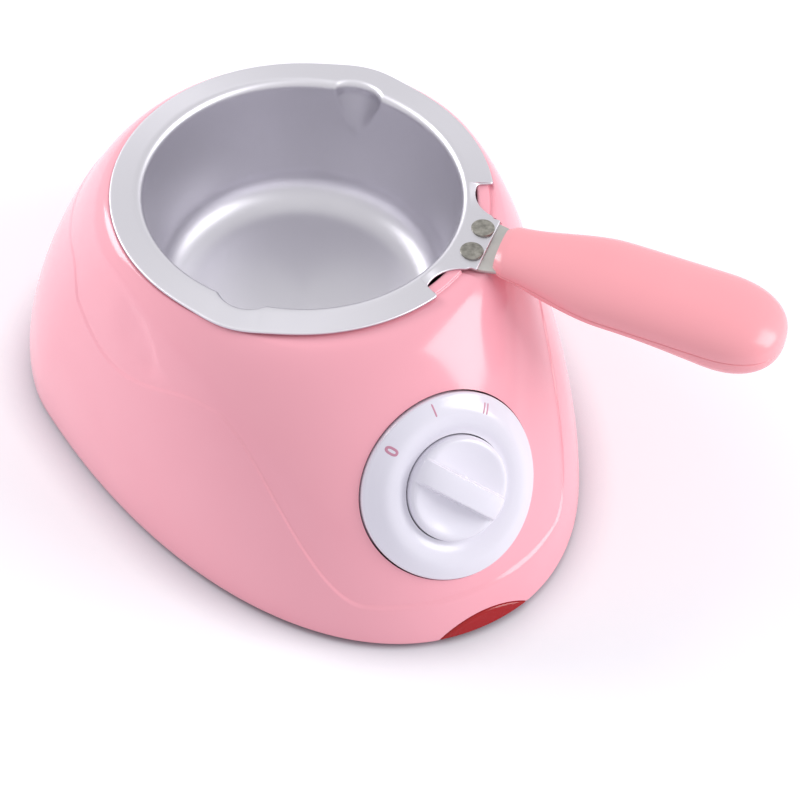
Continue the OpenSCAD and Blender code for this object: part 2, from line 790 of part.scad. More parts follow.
// A halfway point in the first and last stretch keeps both ends straight
function straight_ends(p) = let (n = len(p)) concat(
    [p[0], (p[0] + p[1]) / 2],
    [for (i = [1 : n - 2]) p[i]],
    [(p[n - 2] + p[n - 1]) / 2, p[n - 1]]);
module lead(points, side, r = lead_r) {
    path = curve(straight_ends(points));
    last = len(path) - 1;
    loft([for (i = [0 : last])
        let (t = unit(path[min(last, i + 1)] - path[max(0, i - 1)]))
        let (u = unit(cross(t, side)), v = cross(t, u))
        [for (k = [0 : lead_sides - 1]) let (a = 360 * k / lead_sides)
            path[i] + r * (cos(a) * u + sin(a) * v)]]);
}
up = [0, 0, 1];
blade_end_z = blade_z + 3.5;
blade_end_y = thermostat_y - 14;
tag_end_z = clamp_z - 8;
fuse_wire = 5;
module live_lead() {
    color("saddlebrown")
    lead([[core_x[0], 62, core_z], [core_x[0] - 0.5, 56, core_z], [-24, 50, 8], [-50, 36, 8], [-62, 4, 8],
          [-54, -40, 10], [-34, -60, 13], [-16, -66, 15], contact_end(0, 6), contact_end(0, 0)], up);
}
module switched_lead() {
    color("black")
    lead([contact_end(1, 0), contact_end(1, 6), [3, -60, 15.5], [7, -50, 16], [14, -40, 21.5], [21, -24, 25],
          [thermostat_x + 5, -12, 29.5], [thermostat_x + 5, blade_end_y - 4, blade_end_z],
          [thermostat_x + 5, blade_end_y, blade_end_z]], [1, 0, 0]);
}
// One lead joins the thermostat to the fuse, and another the fuse to the element
module fuse_leads() {
    color("ivory") {
        lead([[thermostat_x - 5, blade_end_y, blade_end_z], [thermostat_x - 5, blade_end_y - 4, blade_end_z],
              [5, -11, blade_end_z - 1], [-5, fuse_y - 1, fuse_z], [fuse_x + 21, fuse_y, fuse_z],
              [fuse_x + 12 + fuse_wire, fuse_y, fuse_z]], up);
        lead([[fuse_x - fuse_wire, fuse_y, fuse_z], [fuse_x - fuse_wire - 4, fuse_y, fuse_z], [-42, -11, 28],
              [-37, -18, 23.5], [-27, -22, 20.8], [tag_at.x, tag_at.y, tag_end_z - 3.5],
              [tag_at.x, tag_at.y, tag_end_z]], [0.3, 1, 0.2]);
    }
}
module neutral_lead() {
    color("steelblue")
    lead([[core_x[1] - 0.95, 62, core_z], [core_x[1] - 0.95, 55, core_z], [-4, 49, 12], [-10, 40, 20],
          [-24, 24, 22.5], [-26, 4, 21.5], [-18, -13, 21], [-9, -21, 20.8],
          [tag_at.x + tag_spread, tag_at.y, tag_end_z - 3.5], [tag_at.x + tag_spread, tag_at.y, tag_end_z]],
        [0.3, 1, 0.2]);
}
// The lamp's leads: one to its resistor, one on to the switch, one back to the block
module lamp_leads() {
    color("gray") {
        lead([[6, lamp_y, 8], [12, lamp_y, 8], [16, lamp_y + 2, lamp_z], [16, lamp_y + 6, lamp_z]], up, 0.8);
        lead([[16, lamp_y + 17, lamp_z], [16, -90, 9.5], [13, -78, 12.5],
              contact_end(2, 6), contact_end(2, 0)], up, 0.8);
        lead([[6, lamp_y, 10.4], [10, lamp_y, 10.4], [22, -100, 12], [38, -74, 9], [52, -44, 13], [56, 0, 8],
              [48, 34, 8], [30, 47, 7], [13, 46.5, 6.5], [4.5, 50.5, 7.5],
              [core_x[1] + 1.25, 56, core_z], [core_x[1] + 1.25, 62, core_z]],
            up, 0.8);
    }
}
tag_turn = 60;
tag_len = 10;
module earth_lead() {
    tag_z = shield_z - nut_h - 0.8;
    color("yellowgreen")
    lead([[core_x[2], 62, core_z], [core_x[2], 56, core_z], [13, 47, 11.5], [18, 34, 12.5], [13, 22, 13.5],
          [(tag_len + 5) * cos(tag_turn), (tag_len + 5) * sin(tag_turn), tag_z + 0.4],
          [tag_len * cos(tag_turn), tag_len * sin(tag_turn), tag_z + 0.4]], up);
    color(silver)
    difference() {
        translate([0, 0, tag_z]) union() {
            cylinder(r = 5, h = 0.8);
            rotate([0, 0, tag_turn]) translate([0, -1.6, 0]) cube([tag_len, 3.2, 0.8]);
        }
        translate([0, 0, tag_z - 1]) cylinder(r = stud_r + eps, h = 3);
    }
}

// The pot: a drawn bowl with a flat flange, two spouts and a notch at each side of the tab
tab_end = 62.5;
tab_half_w = 11.8;
notch_r = 11.8;
notch_x = 62.3;
notch_y = 23.9;
notch_angle = 25.7;
lip_x = 41;
lip_r = 22;
bowl_low_r = 48.5;
bowl_corner = 13;
rivet_at = [58.6, 5.4];
rivet_r = 3.7;
module flange_outline() {
    rotate(handle_dir)
    difference() {
        union() {
            circle(r = flange_r);
            for (side = [90, 270]) rotate(side) translate([lip_x, 0]) circle(r = lip_r);
            translate([bowl_r, -tab_half_w]) square([tab_end - bowl_r, 2 * tab_half_w]);
        }
        for (side = [0, 1]) mirror([0, side])
            intersection() {
                translate([notch_x, notch_y]) circle(r = notch_r);
                polygon([[0, 0], [90, 0], [90 * cos(notch_angle), 90 * sin(notch_angle)]]);
            }
        for (side = [-1, 1]) translate([rivet_at.x, side * rivet_at.y]) circle(r = 2);
    }
}
module pot_bowl() {
    color(silver)
    difference() {
        union() {
            cup(bowl_r + sheet_t, bowl_low_r + sheet_t, bowl_under_z, deck_z + sheet_t / 2, bowl_corner + 1);
            spouts(sheet_t, deck_z + sheet_t / 2);
            translate([0, 0, deck_z]) linear_extrude(sheet_t) flange_outline();
        }
        cup(bowl_r, bowl_low_r, bowl_floor_z, flange_z + 1, bowl_corner);
        spouts(0, flange_z + 1);
    }
}

bracket_z = deck_z - bracket_t;
tongue_end = 104;
tongue_half_w = 6.5;
grip_screw_x = [88, 138];
module handle_bracket() {
    color(steel)
    along_handle()
    difference() {
        translate([0, 0, bracket_z]) linear_extrude(bracket_t)
            polygon([[54.6, -10.5], [62.5, -10.8], [66, -8.6], [71, -tongue_half_w],
                [tongue_end, -tongue_half_w], [tongue_end, tongue_half_w],
                [71, tongue_half_w], [66, 8.6], [62.5, 10.8], [54.6, 10.5]]);
        for (side = [-1, 1])
            translate([rivet_at.x, side * rivet_at.y, bracket_z - 1]) cylinder(r = 2, h = 4);
        translate([grip_screw_x[0], 0, bracket_z - 1]) cylinder(r = 1.7, h = 4);
    }
}
module bracket_rivets() {
    color(steel)
    along_handle()
    for (side = [-1, 1]) translate([rivet_at.x, side * rivet_at.y, 0]) {
        translate([0, 0, bracket_z]) cylinder(r = 2, h = bracket_t + sheet_t + eps);
        translate([0, 0, flange_z]) cylinder(r1 = rivet_r, r2 = rivet_r - 0.4, h = 0.4);
    }
}

// The grip is two shells that meet along a sloping seam
grip_seam_z = 85.4;
grip_fall = 4.4;
grip_rise_neck = 6.6;
grip_rise_full = 10.6;
grip_drop = 8.3;
grip_power = 2.4;
grip_shell = 2.2;
tip_start = 0.74;
tip_power = 2.23;
seam_gap = 0.1;
outer_stations = [0, 0.015, 0.04, 0.08, 0.13, 0.2, 0.28, 0.36, 0.46, 0.6,
    0.74, 0.81, 0.87, 0.92, 0.955, 0.98, 0.993, 0.999];
inner_stations = [0.09, 0.15, 0.22, 0.32, 0.45, 0.6, 0.74, 0.81, 0.86, 0.9];
arc_steps = 18;
function end_round(s) =
    s > tip_start ? pow(1 - pow((s - tip_start) / (1 - tip_start), tip_power), 1 / tip_power)
    : s < 0.05 ? 0.6 + 0.4 * sin(90 * s / 0.05) : 1;
function grip_w(s) = (grip_neck_w + (grip_full_w - grip_neck_w) * smooth(0, 0.46, s)) * end_round(s);
function grip_up(s) = (grip_rise_neck + (grip_rise_full - grip_rise_neck) * smooth(0, 0.5, s)) * end_round(s);
function grip_down(s) = (0.3 + (grip_drop - 0.3) * smooth(0, 0.17, s)) * end_round(s);
function seam_z(s) = grip_seam_z - grip_fall * s;
// A half section: an arc above (dir 1) or below (dir -1) the seam, closed past the seam by over
function half_section(s, dir, thin, over) =
    let (w = grip_w(s) - thin, h = (dir > 0 ? grip_up(s) : grip_down(s)) - thin)
    let (x = grip_start + grip_len * s, z = seam_z(s) + dir * seam_gap / 2, e = 2 / grip_power)
    concat(
        [for (i = [0 : arc_steps]) let (a = 180 * i / arc_steps)
            [x, w * spow(cos(a), e) * dir, z + dir * h * pow(sin(a), e)]],
        over > 0 ? [[x, -w * dir, z - dir * over], [x, w * dir, z - dir * over]] : []);
module grip_solid(dir) loft([for (s = outer_stations) half_section(s, dir, 0, 0)]);
module grip_hollow(dir) loft([for (s = inner_stations) half_section(s, dir, grip_shell, 1)]);
function grip_s(x) = (x - grip_start) / grip_len;
module tongue_space()
    translate([grip_start - 1, -tongue_half_w - 3, bracket_z - 0.05])
        cube([tongue_end - grip_start + 2, 2 * tongue_half_w + 6, bracket_t + 0.1]);

module handle_upper() {
    color(pink)
    along_handle()
    difference() {
        union() {
            difference() {
                grip_solid(1);
                grip_hollow(1);
                tongue_space();
            }
            translate([grip_screw_x[0], 0, bracket_z + bracket_t + 0.05]) cylinder(r = 3.4, h = 5.4);
            translate([grip_screw_x[1], 0, seam_z(grip_s(grip_screw_x[1])) + 0.3])
                cylinder(r = 3.4, h = 9);
        }
        for (x = grip_screw_x) translate([x, 0, seam_z(grip_s(x)) - 1]) cylinder(r = 1.3, h = 8);
    }
}
module handle_lower() {
    color(pink)
    along_handle()
    difference() {
        union() {
            difference() {
                grip_solid(-1);
                grip_hollow(-1);
                tongue_space();
            }
            translate([grip_screw_x[0], 0, 77.5]) cylinder(r = 3.8, h = bracket_z - 0.1 - 77.5);
            translate([grip_screw_x[1], 0, 75])
                cylinder(r = 3.8, h = seam_z(grip_s(grip_screw_x[1])) - 75.1);
        }
        for (x = grip_screw_x) {
            translate([x, 0, 60]) cylinder(r = 1.6, h = 30);
            translate([x, 0, 60]) cylinder(r = 2.8, h = seam_z(grip_s(x)) - 60 - 3);
        }
    }
}
module handle_screws() {
    color(steel)
    along_handle()
    for (x = grip_screw_x)
        translate([x, 0, seam_z(grip_s(x)) - 3]) rotate([180, 0, 0]) screw(2.6, 1.6, 1.25, 9);
}

upper_housing();
bottom_cover();
rubber_feet();
cover_screws();
well_cup();
well_stud();
upper_mica();
heating_element();
lower_mica();
clamp_plate();
stud_nuts();
heat_shield();
shield_screws();
thermostat();
thermostat_strap();
thermal_fuse();
fuse_sleeve();
dial_bezel();
switch_cover();
switch_base();
switch_contacts();
switch_screws();
detent_ball();
detent_leaf();
lamp_lens();
neon_lamp();
lamp_holder();
lamp_resistor();
terminal_block();
terminal_screws();
block_screws();
cord_gland();
cord_clamp();
clamp_screws();
live_lead();
switched_lead();
fuse_leads();
neutral_lead();
lamp_leads();
earth_lead();
knob();
knob_spring();
switch_shaft();
detent_rotor();
pot_bowl();
handle_bracket();
bracket_rivets();
handle_upper();
handle_lower();
handle_screws();
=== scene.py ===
import math

import bmesh
import bpy
import numpy as np
from mathutils import Matrix, Vector


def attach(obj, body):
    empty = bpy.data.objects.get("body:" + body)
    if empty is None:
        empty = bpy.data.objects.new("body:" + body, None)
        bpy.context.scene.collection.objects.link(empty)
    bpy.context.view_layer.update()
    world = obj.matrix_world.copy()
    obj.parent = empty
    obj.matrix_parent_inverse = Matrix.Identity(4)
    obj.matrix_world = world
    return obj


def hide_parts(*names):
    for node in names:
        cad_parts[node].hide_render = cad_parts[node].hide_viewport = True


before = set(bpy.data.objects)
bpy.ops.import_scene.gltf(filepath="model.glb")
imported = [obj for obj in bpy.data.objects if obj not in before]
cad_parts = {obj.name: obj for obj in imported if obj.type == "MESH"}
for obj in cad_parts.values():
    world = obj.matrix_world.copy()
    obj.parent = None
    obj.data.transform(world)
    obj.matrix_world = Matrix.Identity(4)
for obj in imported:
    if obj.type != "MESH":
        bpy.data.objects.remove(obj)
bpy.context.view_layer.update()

scene = bpy.context.scene
scene.view_settings.view_transform = "Standard"

# Camera
# It stands in front and to the left of the pot and looks down on it through a long lens.
view_turn = math.radians(-32.36)
view_height = math.radians(48.70)
view_roll = math.radians(3.085)
view_back = Vector((math.sin(view_turn) * math.cos(view_height),
                    -math.cos(view_turn) * math.cos(view_height), math.sin(view_height)))
level_right = Vector((math.cos(view_turn), math.sin(view_turn), 0))
level_up = view_back.cross(level_right)
view_right = level_right * math.cos(view_roll) + level_up * math.sin(view_roll)
view_up = level_up * math.cos(view_roll) - level_right * math.sin(view_roll)
view_distance = 0.868
# It aims a little beside and below the pot's middle, so that the handle is in the frame
view_aim = Vector((0, 0, 0.045)) + view_right * 0.032377 - view_up * 0.03836
camera_data = bpy.data.cameras.new("camera")
camera_data.lens = 118.73
camera_data.sensor_width = 36
camera = bpy.data.objects.new("camera", camera_data)
view_axes = Matrix((view_right, view_up, view_back)).transposed().to_4x4()
camera.matrix_world = Matrix.Translation(view_aim + view_back * view_distance) @ view_axes
scene.collection.objects.link(camera)
scene.camera = camera

# Studio light
# Two large soft boxes of about the same strength, one beside the pot on the right and one behind it on the
# left, in a white room. The room is dimmer for the light it gives than for what shows in it and in
# reflections.
def srgb(text):
    """A hex colour as linear red, green, blue and alpha"""
    parts = [int(text[i:i + 2], 16) / 255 for i in (1, 3, 5)]
    return [c / 12.92 if c <= 0.04045 else ((c + 0.055) / 1.055) ** 2.4 for c in parts] + [1]


def add(tree, kind, inputs=None, **settings):
    """Adds a node with its settings, and with values or links on its inputs"""
    node = tree.nodes.new(kind)
    for key, value in settings.items():
        setattr(node, key, value)
    for key, value in (inputs or {}).items():
        if isinstance(value, bpy.types.NodeSocket):
            tree.links.new(value, node.inputs[key])
        else:
            node.inputs[key].default_value = value
    return node


def seen_directly(tree):
    """1 for rays from the camera, a mirror or glass, and 0 for rays that light a surface"""
    path = add(tree, "ShaderNodeLightPath")
    mirror = add(tree, "ShaderNodeMath", {0: path.outputs["Is Camera Ray"], 1: path.outputs["Is Glossy Ray"]},
                 operation="MAXIMUM")
    return add(tree, "ShaderNodeMath", {0: mirror.outputs[0], 1: path.outputs["Is Transmission Ray"]},
               operation="MAXIMUM").outputs[0]


room = bpy.data.worlds.new("white_room")
room.use_nodes = True
room.node_tree.nodes.clear()
room_light = add(room.node_tree, "ShaderNodeBackground", {"Color": srgb("#F6F6FF"), "Strength": 0.63})
room_seen = add(room.node_tree, "ShaderNodeBackground", {"Color": srgb("#FFFFFF"), "Strength": 1.0})
room_mix = add(room.node_tree, "ShaderNodeMixShader",
               {0: seen_directly(room.node_tree), 1: room_light.outputs[0], 2: room_seen.outputs[0]})
add(room.node_tree, "ShaderNodeOutputWorld", {"Surface": room_mix.outputs[0]})
scene.world = room


pot_middle_z = 0.04


def softbox(name, side, depth, height, size, power):
    """A square lamp that faces the pot, placed to the right of, beyond and above it as the camera sees it"""
    lamp = bpy.data.lights.new(name, "AREA")
    lamp.size = size
    lamp.energy = power
    beyond = Vector((-view_back.x, -view_back.y, 0)).normalized()
    place = level_right * side + beyond * depth + Vector((0, 0, height))
    facing = (place - Vector((0, 0, pot_middle_z))).to_track_quat("Z", "Y")
    holder = bpy.data.objects.new(name, lamp)
    holder.matrix_world = Matrix.Translation(place) @ facing.to_matrix().to_4x4()
    scene.collection.objects.link(holder)


softbox("softbox_right", side=0.95, depth=-0.1, height=0.55, size=0.6, power=6.0)
softbox("softbox_left", side=-0.85, depth=0.35, height=0.6, size=0.5, power=5.8)

# Table
# A wide white table top, matt, which takes the pot's soft shadow. It shows a little brighter than it is
# lit, so that it meets the white of the room without an edge, and a painted shade darkens it close to the
# pot's foot.
def solid(name, points, faces, material, sharp_angle=38):
    """A mesh object from points in millimetres, with doubles merged, faces outward and smooth shading"""
    mesh = bpy.data.meshes.new(name)
    mesh.from_pydata((np.asarray(points, float) / 1000).tolist(), [], np.asarray(faces).tolist())
    work = bmesh.new()
    work.from_mesh(mesh)
    bmesh.ops.remove_doubles(work, verts=work.verts, dist=1e-6)
    bmesh.ops.recalc_face_normals(work, faces=work.faces)
    work.to_mesh(mesh)
    work.free()
    mesh.polygons.foreach_set("use_smooth", np.ones(len(mesh.polygons), bool))
    mesh.set_sharp_from_angle(angle=math.radians(sharp_angle))
    mesh.materials.append(material)
    piece = bpy.data.objects.new(name, mesh)
    scene.collection.objects.link(piece)
    return piece


def mixed(tree, share, low_colour, high_colour):
    """A colour between two hex colours; 6, 7 and 2 are the Mix node's own colour sockets"""
    return add(tree, "ShaderNodeMix", {0: share, 6: srgb(low_colour), 7: srgb(high_colour)},
               data_type="RGBA").outputs[2]


table_half = 3000
foot_shadow_m = 0.014
table_shine = 0.1
table_paint = bpy.data.materials.new("matt_white_table")
table_paint.use_nodes = True
table_tree = table_paint.node_tree
table_tree.nodes.clear()
# Painted shade: where the gap under the foot is narrow, the white beside it is painted grey, a painted
# contact shadow that sets the pot firmly on the table
painted_foot_shade = add(table_tree, "ShaderNodeAmbientOcclusion", {"Distance": foot_shadow_m},
               samples=16).outputs["AO"]
table_colour = mixed(table_tree, painted_foot_shade, "#9A8F9E", "#FAFAFC")
table_lit = add(table_tree, "ShaderNodeBsdfDiffuse", {"Color": table_colour})
# The same painted shade also dims the table's glow beside the foot
table_seen = add(table_tree, "ShaderNodeMath", {0: seen_directly(table_tree), 1: painted_foot_shade},
                 operation="MULTIPLY")
table_glow = add(table_tree, "ShaderNodeMath", {0: table_seen.outputs[0], 1: table_shine},
                 operation="MULTIPLY")
table_white = add(table_tree, "ShaderNodeEmission", {"Color": srgb("#FFFFFF"),
                                                     "Strength": table_glow.outputs[0]})
table_both = add(table_tree, "ShaderNodeAddShader", {0: table_lit.outputs[0], 1: table_white.outputs[0]})
add(table_tree, "ShaderNodeOutputMaterial", {"Surface": table_both.outputs[0]})
table = solid("table_top", [[-table_half, -table_half, 0], [table_half, -table_half, 0],
                            [table_half, table_half, 0], [-table_half, table_half, 0]],
              [[0, 1, 2, 3]], table_paint)

# Upper housing
# The egg-shaped shell is one moulding in glossy pink ABS. A step runs round it, low under the dial and
# high along the sides, and its flat top ring, which carries the pot, stands in a narrow step of its own.
def finish(name, **inputs):
    """A material with one Principled shader, whose inputs are named with _ for a space"""
    material = bpy.data.materials.new(name)
    material.use_nodes = True
    tree = material.node_tree
    tree.nodes.clear()
    shader = add(tree, "ShaderNodeBsdfPrincipled",
                 {key.replace("_", " "): value for key, value in inputs.items()})
    add(tree, "ShaderNodeOutputMaterial", {"Surface": shader.outputs["BSDF"]})
    return material, tree, shader


def moulded(name, low_colour, high_colour, roughness, spread, grain_mm, relief_mm, **inputs):
    """A finish with a grain of that size, whose colour and roughness drift over 12 grains"""
    material, tree, shader = finish(name, **inputs)
    place = add(tree, "ShaderNodeTexCoord").outputs["Object"]
    drift = add(tree, "ShaderNodeTexNoise", {"Vector": place, "Scale": 1000 / (grain_mm * 12), "Detail": 2.0})
    grain = add(tree, "ShaderNodeTexNoise", {"Vector": place, "Scale": 1000 / grain_mm, "Detail": 2.0})
    gloss = add(tree, "ShaderNodeMapRange", {"Value": drift.outputs["Fac"], "To Min": roughness - spread,
                                             "To Max": roughness + spread})
    relief = add(tree, "ShaderNodeBump", {"Height": grain.outputs["Fac"], "Strength": 1.0,
                                          "Distance": relief_mm / 1000})
    tree.links.new(mixed(tree, drift.outputs["Fac"], low_colour, high_colour), shader.inputs["Base Color"])
    tree.links.new(gloss.outputs["Result"], shader.inputs["Roughness"])
    tree.links.new(relief.outputs["Normal"], shader.inputs["Normal"])
    return material


# Moulded ABS has a mirror gloss with a faint orange peel, about 2 mm from hill to hill
pink_abs = moulded("glossy_moulded_pink_abs", "#FDADB9", "#FFB2BE", 0.14, 0.03, 2.0, 0.0012, IOR=1.53)

body_front = 122.5
body_rear = 90.0
body_half_w = 83.75
widest_y = 24.0
deck_z = 86.0
deck_r = 60.0
deck_t = 4.0
deck_hole_r = 55.5
foot_z = 2.0
wall = 2.5
crease_step = 0.8
rabbet = 0.9
dish_depth = 0.9
body_columns = 600


def spow(a, e):
    """A power that keeps the sign"""
    return np.sign(a) * np.abs(a) ** e


def smooth(a, b, x):
    """0 up to a, 1 from b on, and a soft rise between them"""
    u = np.clip((x - a) / (b - a), 0, 1)
    return u * u * (3 - 2 * u)


def foot(angle, inset):
    """The foot's plan: a long half superellipse in front and a round one behind"""
    ahead = np.cos(angle) > 0
    reach = np.where(ahead, body_front + widest_y, body_rear - widest_y) - inset
    power = np.where(ahead, 2 / 2.13, 1.0)
    return (body_half_w - inset) * spow(np.sin(angle), power), widest_y - reach * spow(np.cos(angle), power)


def blend(side, front, angle):
    """Goes over from the value at the sides and the rear to the one at the front"""
    return side + (front - side) * np.maximum(0, np.cos(angle)) ** 2


def skin(t, angle, inset, top_r, top_z):
    """A ring of the shell: the side rises from the foot to the deck along a cubic curve"""
    # How far the curve's inner points lie in and up, each as a share at the side and at the front
    first_in, last_in = blend(-0.1, 0.16, angle), 1 - blend(0.36, 0.29, angle)
    first_up = blend(0.325, 0.285, angle)
    drawn_in = 3 * t * (1 - t) ** 2 * first_in + 3 * t * t * (1 - t) * last_in + t ** 3
    raised = 3 * t * (1 - t) ** 2 * first_up + 3 * t * t * (1 - t) + t ** 3
    x, y = foot(angle, inset)
    return np.stack([x * (1 - drawn_in) + top_r * np.sin(angle) * drawn_in,
                     y * (1 - drawn_in) - top_r * np.cos(angle) * drawn_in,
                     foot_z + (top_z - foot_z) * raised], -1)


def circle(angle, r, z):
    """A level ring about the pot's axis, counted from the front"""
    return np.stack([r * np.sin(angle), -r * np.cos(angle), np.full_like(angle, z)], -1)


def shoulder_dish(points, share):
    """The shoulders sink a little below a leaf-shaped line at each side"""
    x, y, z = points[:, 0], points[:, 1], points[:, 2]
    bearing = np.degrees(np.abs(np.arctan2(x, -y)))
    line_z = np.interp(bearing, [60.5, 66.5, 70, 74.5, 82], [64.5, 67.4, 72.6, 76.8, 78.6])
    below = np.maximum(0, line_z - z)
    depth = dish_depth * (1 - np.exp(-below / 2)) * (1 - smooth(6, 22, below))
    # It fades out forwards, backwards and down towards the step
    depth = depth * smooth(58, 70, bearing) * (1 - smooth(76, 88, bearing)) * smooth(0, 0.14, share)
    away = np.stack([x, y - widest_y, np.full_like(x, 40)], -1)
    away = away / np.linalg.norm(away, axis=1)[:, None]
    return points - away * depth[:, None]


def ring_mesh(name, rings, material, closed=False, sharp_angle=38):
    """A skin through equal rings of points. It joins up round each ring, and where closed also end to end"""
    grid = np.stack(rings)
    index = np.arange(grid.shape[0] * grid.shape[1]).reshape(grid.shape[:2])
    low = index if closed else index[:-1]
    high = np.roll(index, -1, 0) if closed else index[1:]
    faces = np.stack([low, np.roll(low, -1, 1), np.roll(high, -1, 1), high], -1).reshape(-1, 4)
    return solid(name, grid.reshape(-1, 3), faces, material, sharp_angle)


around = np.linspace(0, 2 * np.pi, body_columns, endpoint=False)
bearing = np.degrees(np.where(around > np.pi, 2 * np.pi - around, around))
# How far up the side the step runs, by bearing from the front
crease = 0.14 + 0.455 * smooth(24, 54, bearing) - 0.095 * smooth(57, 78, bearing)
crease = crease + 0.145 * smooth(78, 104, bearing)
# The rings run from the rounded foot to the step, over it, up to the deck's edge, across the deck and
# down the inside
shell_rings = [skin(np.zeros_like(around), around, 0.45, deck_r, deck_z),
               skin(np.full_like(around, 0.0015), around, 0.13, deck_r, deck_z)]
shell_rings += [skin(0.006 + v * (crease - 0.012), around, 0, deck_r, deck_z) for v in np.linspace(0, 1, 28)]
shell_rings += [skin(crease + step, around, crease_step * smooth(-0.002, 0.012, step), deck_r, deck_z)
                for step in (-0.004, -0.002, 0, 0.002, 0.004, 0.006, 0.008, 0.010, 0.012, 0.015)]
shell_rings += [shoulder_dish(skin(crease + 0.015 + v * (0.985 - crease), around,
                                   crease_step * (1 - smooth(0, 0.45, v)), deck_r, deck_z), v)
                - [0, 0, rabbet * smooth(0.86, 1, v)] for v in np.linspace(0.012, 1, 72)]
deck_profile = [(59.6, deck_z - rabbet), (59.4, deck_z - rabbet + 0.15), (59.3, deck_z - 0.15),
                (59.1, deck_z), (56.6, deck_z), (56.1, 85.97), (55.75, 85.8), (55.55, 85.5),
                (deck_hole_r, 85.1), (deck_hole_r, deck_z - deck_t)]
shell_rings += [circle(around, r, z) for r, z in deck_profile]
shell_rings += [skin(np.full_like(around, v), around, wall, deck_r - wall, deck_z - deck_t)
                for v in (1, 0.94, 0.88, 0.8, 0.72, 0.64, 0.56, 0.48, 0.4, 0.32, 0.24, 0.16, 0.08, 0.03, 0)]
housing = ring_mesh("housing_shell", shell_rings, pink_abs, closed=True, sharp_angle=32)

handle_turn = math.radians(-50)


def along_handle(points):
    """From the pot's own frame, whose first axis runs along the handle, to the object's"""
    x, y, z = np.moveaxis(np.asarray(points, float), -1, 0)
    return np.stack([x * math.cos(handle_turn) - y * math.sin(handle_turn),
                     x * math.sin(handle_turn) + y * math.cos(handle_turn), z], -1)


def turned(profile, steps=96):
    """Rings of a shape turned on a lathe, from radius and height pairs"""
    angle = np.linspace(0, 2 * np.pi, steps, endpoint=False)
    return [np.stack([r * np.cos(angle), r * np.sin(angle), np.full_like(angle, z)], -1) for r, z in profile]


def moved(rings, to, along=(0, 0, 1)):
    """Rings drawn about +Z, put at a place with their axis turned to a direction"""
    rotation = np.array(Vector((0, 0, 1)).rotation_difference(Vector(along)).to_matrix())
    return [ring @ rotation.T + np.asarray(to, float) for ring in rings]


def joined(name, *pieces):
    """Several solids as one object, with the first one's finish"""
    work = bmesh.new()
    for piece in pieces:
        work.from_mesh(piece.data)
    work.to_mesh(pieces[0].data)
    work.free()
    pieces[0].name = name
    for piece in pieces[1:]:
        bpy.data.objects.remove(piece)
    return pieces[0]


def cut(piece, *tools, sharp_angle=32):
    """Takes the tools' solids out of a piece"""
    group = bpy.data.collections.new("cutters")
    for tool in tools:
        group.objects.link(tool)
    step = piece.modifiers.new("cut", "BOOLEAN")
    step.operation = "DIFFERENCE"
    step.operand_type = "COLLECTION"
    step.collection = group
    step.solver = "EXACT"
    bpy.context.view_layer.update()
    mesh = bpy.data.meshes.new_from_object(piece.evaluated_get(bpy.context.evaluated_depsgraph_get()))
    piece.modifiers.clear()
    piece.data = mesh
    mesh.set_sharp_from_angle(angle=math.radians(sharp_angle))
    for tool in tools:
        bpy.data.objects.remove(tool)
    bpy.data.collections.remove(group)
    return piece


spout_x = 43.5
spout_low = 62
spout_room = 1.8
spout_sides = (math.pi / 2, -math.pi / 2)
flange_z = 87.0


def spout_r(z):
    """Radius of a spout's cone at a height"""
    return 3 + 7.8 * (z - flange_z + 25) / 25


def spout_cutter(side):
    """A spout's cone with some room round it, from its low end to above the deck"""
    high = flange_z + 1
    rings = turned([(0, spout_low), (spout_r(spout_low) + spout_room, spout_low),
                    (spout_r(high) + spout_room, high), (0, high)], 128)
    angle = handle_turn + side
    place = (spout_x * math.cos(angle), spout_x * math.sin(angle), 0)
    return ring_mesh("cutter", moved(rings, place), pink_abs)


def rod(low, high, r, to, along):
    """A plain cylinder along a line, to cut with"""
    rings = turned([(0, low), (r, low), (r, high), (0, high)], 192)
    return ring_mesh("cutter", moved(rings, to, along), pink_abs)


def box(base, low, high, material, place=np.asarray):
    """A box over a four-cornered base, to cut with"""
    corners = place([[x, y, z] for z in (low, high) for x, y in base])
    return solid("cutter", corners, [[0, 3, 2, 1], [4, 5, 6, 7], [0, 1, 5, 4], [1, 2, 6, 5], [2, 3, 7, 6],
                                     [3, 0, 4, 7]], material)


dial_tilt = math.radians(31.6)
dial_y = -99.6
dial_z = 45.9
dial_hole_r = 30.4
dial_axis = (0, -math.cos(dial_tilt), math.sin(dial_tilt))
dial_middle = (0, dial_y, dial_z)
arch_r = 27.5
arch_z = foot_z + 5.5 - arch_r
gland_z = 12.0
gland_hole_r = 5.1
gland_seat_r = 7.3
gland_seat_depth = 0.8
tab_recess = box([[46, -13], [68, -13], [68, 13], [46, 13]], 84.2, 90, pink_abs, along_handle)
spout_ways = [spout_cutter(side) for side in spout_sides]
dial_hole = rod(-16, 12, dial_hole_r, dial_middle, dial_axis)
lens_arch_way = rod(-body_front - 6, -body_front + 16, arch_r, (0, 0, arch_z), (0, 1, 0))
gland_hole = rod(body_rear - 8, body_rear + 4, gland_hole_r, (0, 0, gland_z), (0, 1, 0))
gland_seat = rod(body_rear - gland_seat_depth, body_rear + 5, gland_seat_r, (0, 0, gland_z), (0, 1, 0))
cut(housing, *spout_ways, tab_recess, dial_hole, lens_arch_way, gland_hole, gland_seat)

# Four screw bosses stand inside the shell
boss_inset = 10.0
boss_profile = [(1.45, 4.6), (4.5, 4.6), (4.5, 17), (1.45, 17)]
boss_places = []
for boss_angle in (48, 128, 232, 312):
    boss_x, boss_y = foot(np.radians(boss_angle), boss_inset)
    boss_places.append((float(boss_x), float(boss_y)))
bosses = [ring_mesh("boss", moved(turned(boss_profile, 48), (x, y, 0)), pink_abs, closed=True)
          for x, y in boss_places]
housing = joined("housing_shell", housing, *bosses)
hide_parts("upper_housing")
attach(housing, "base")

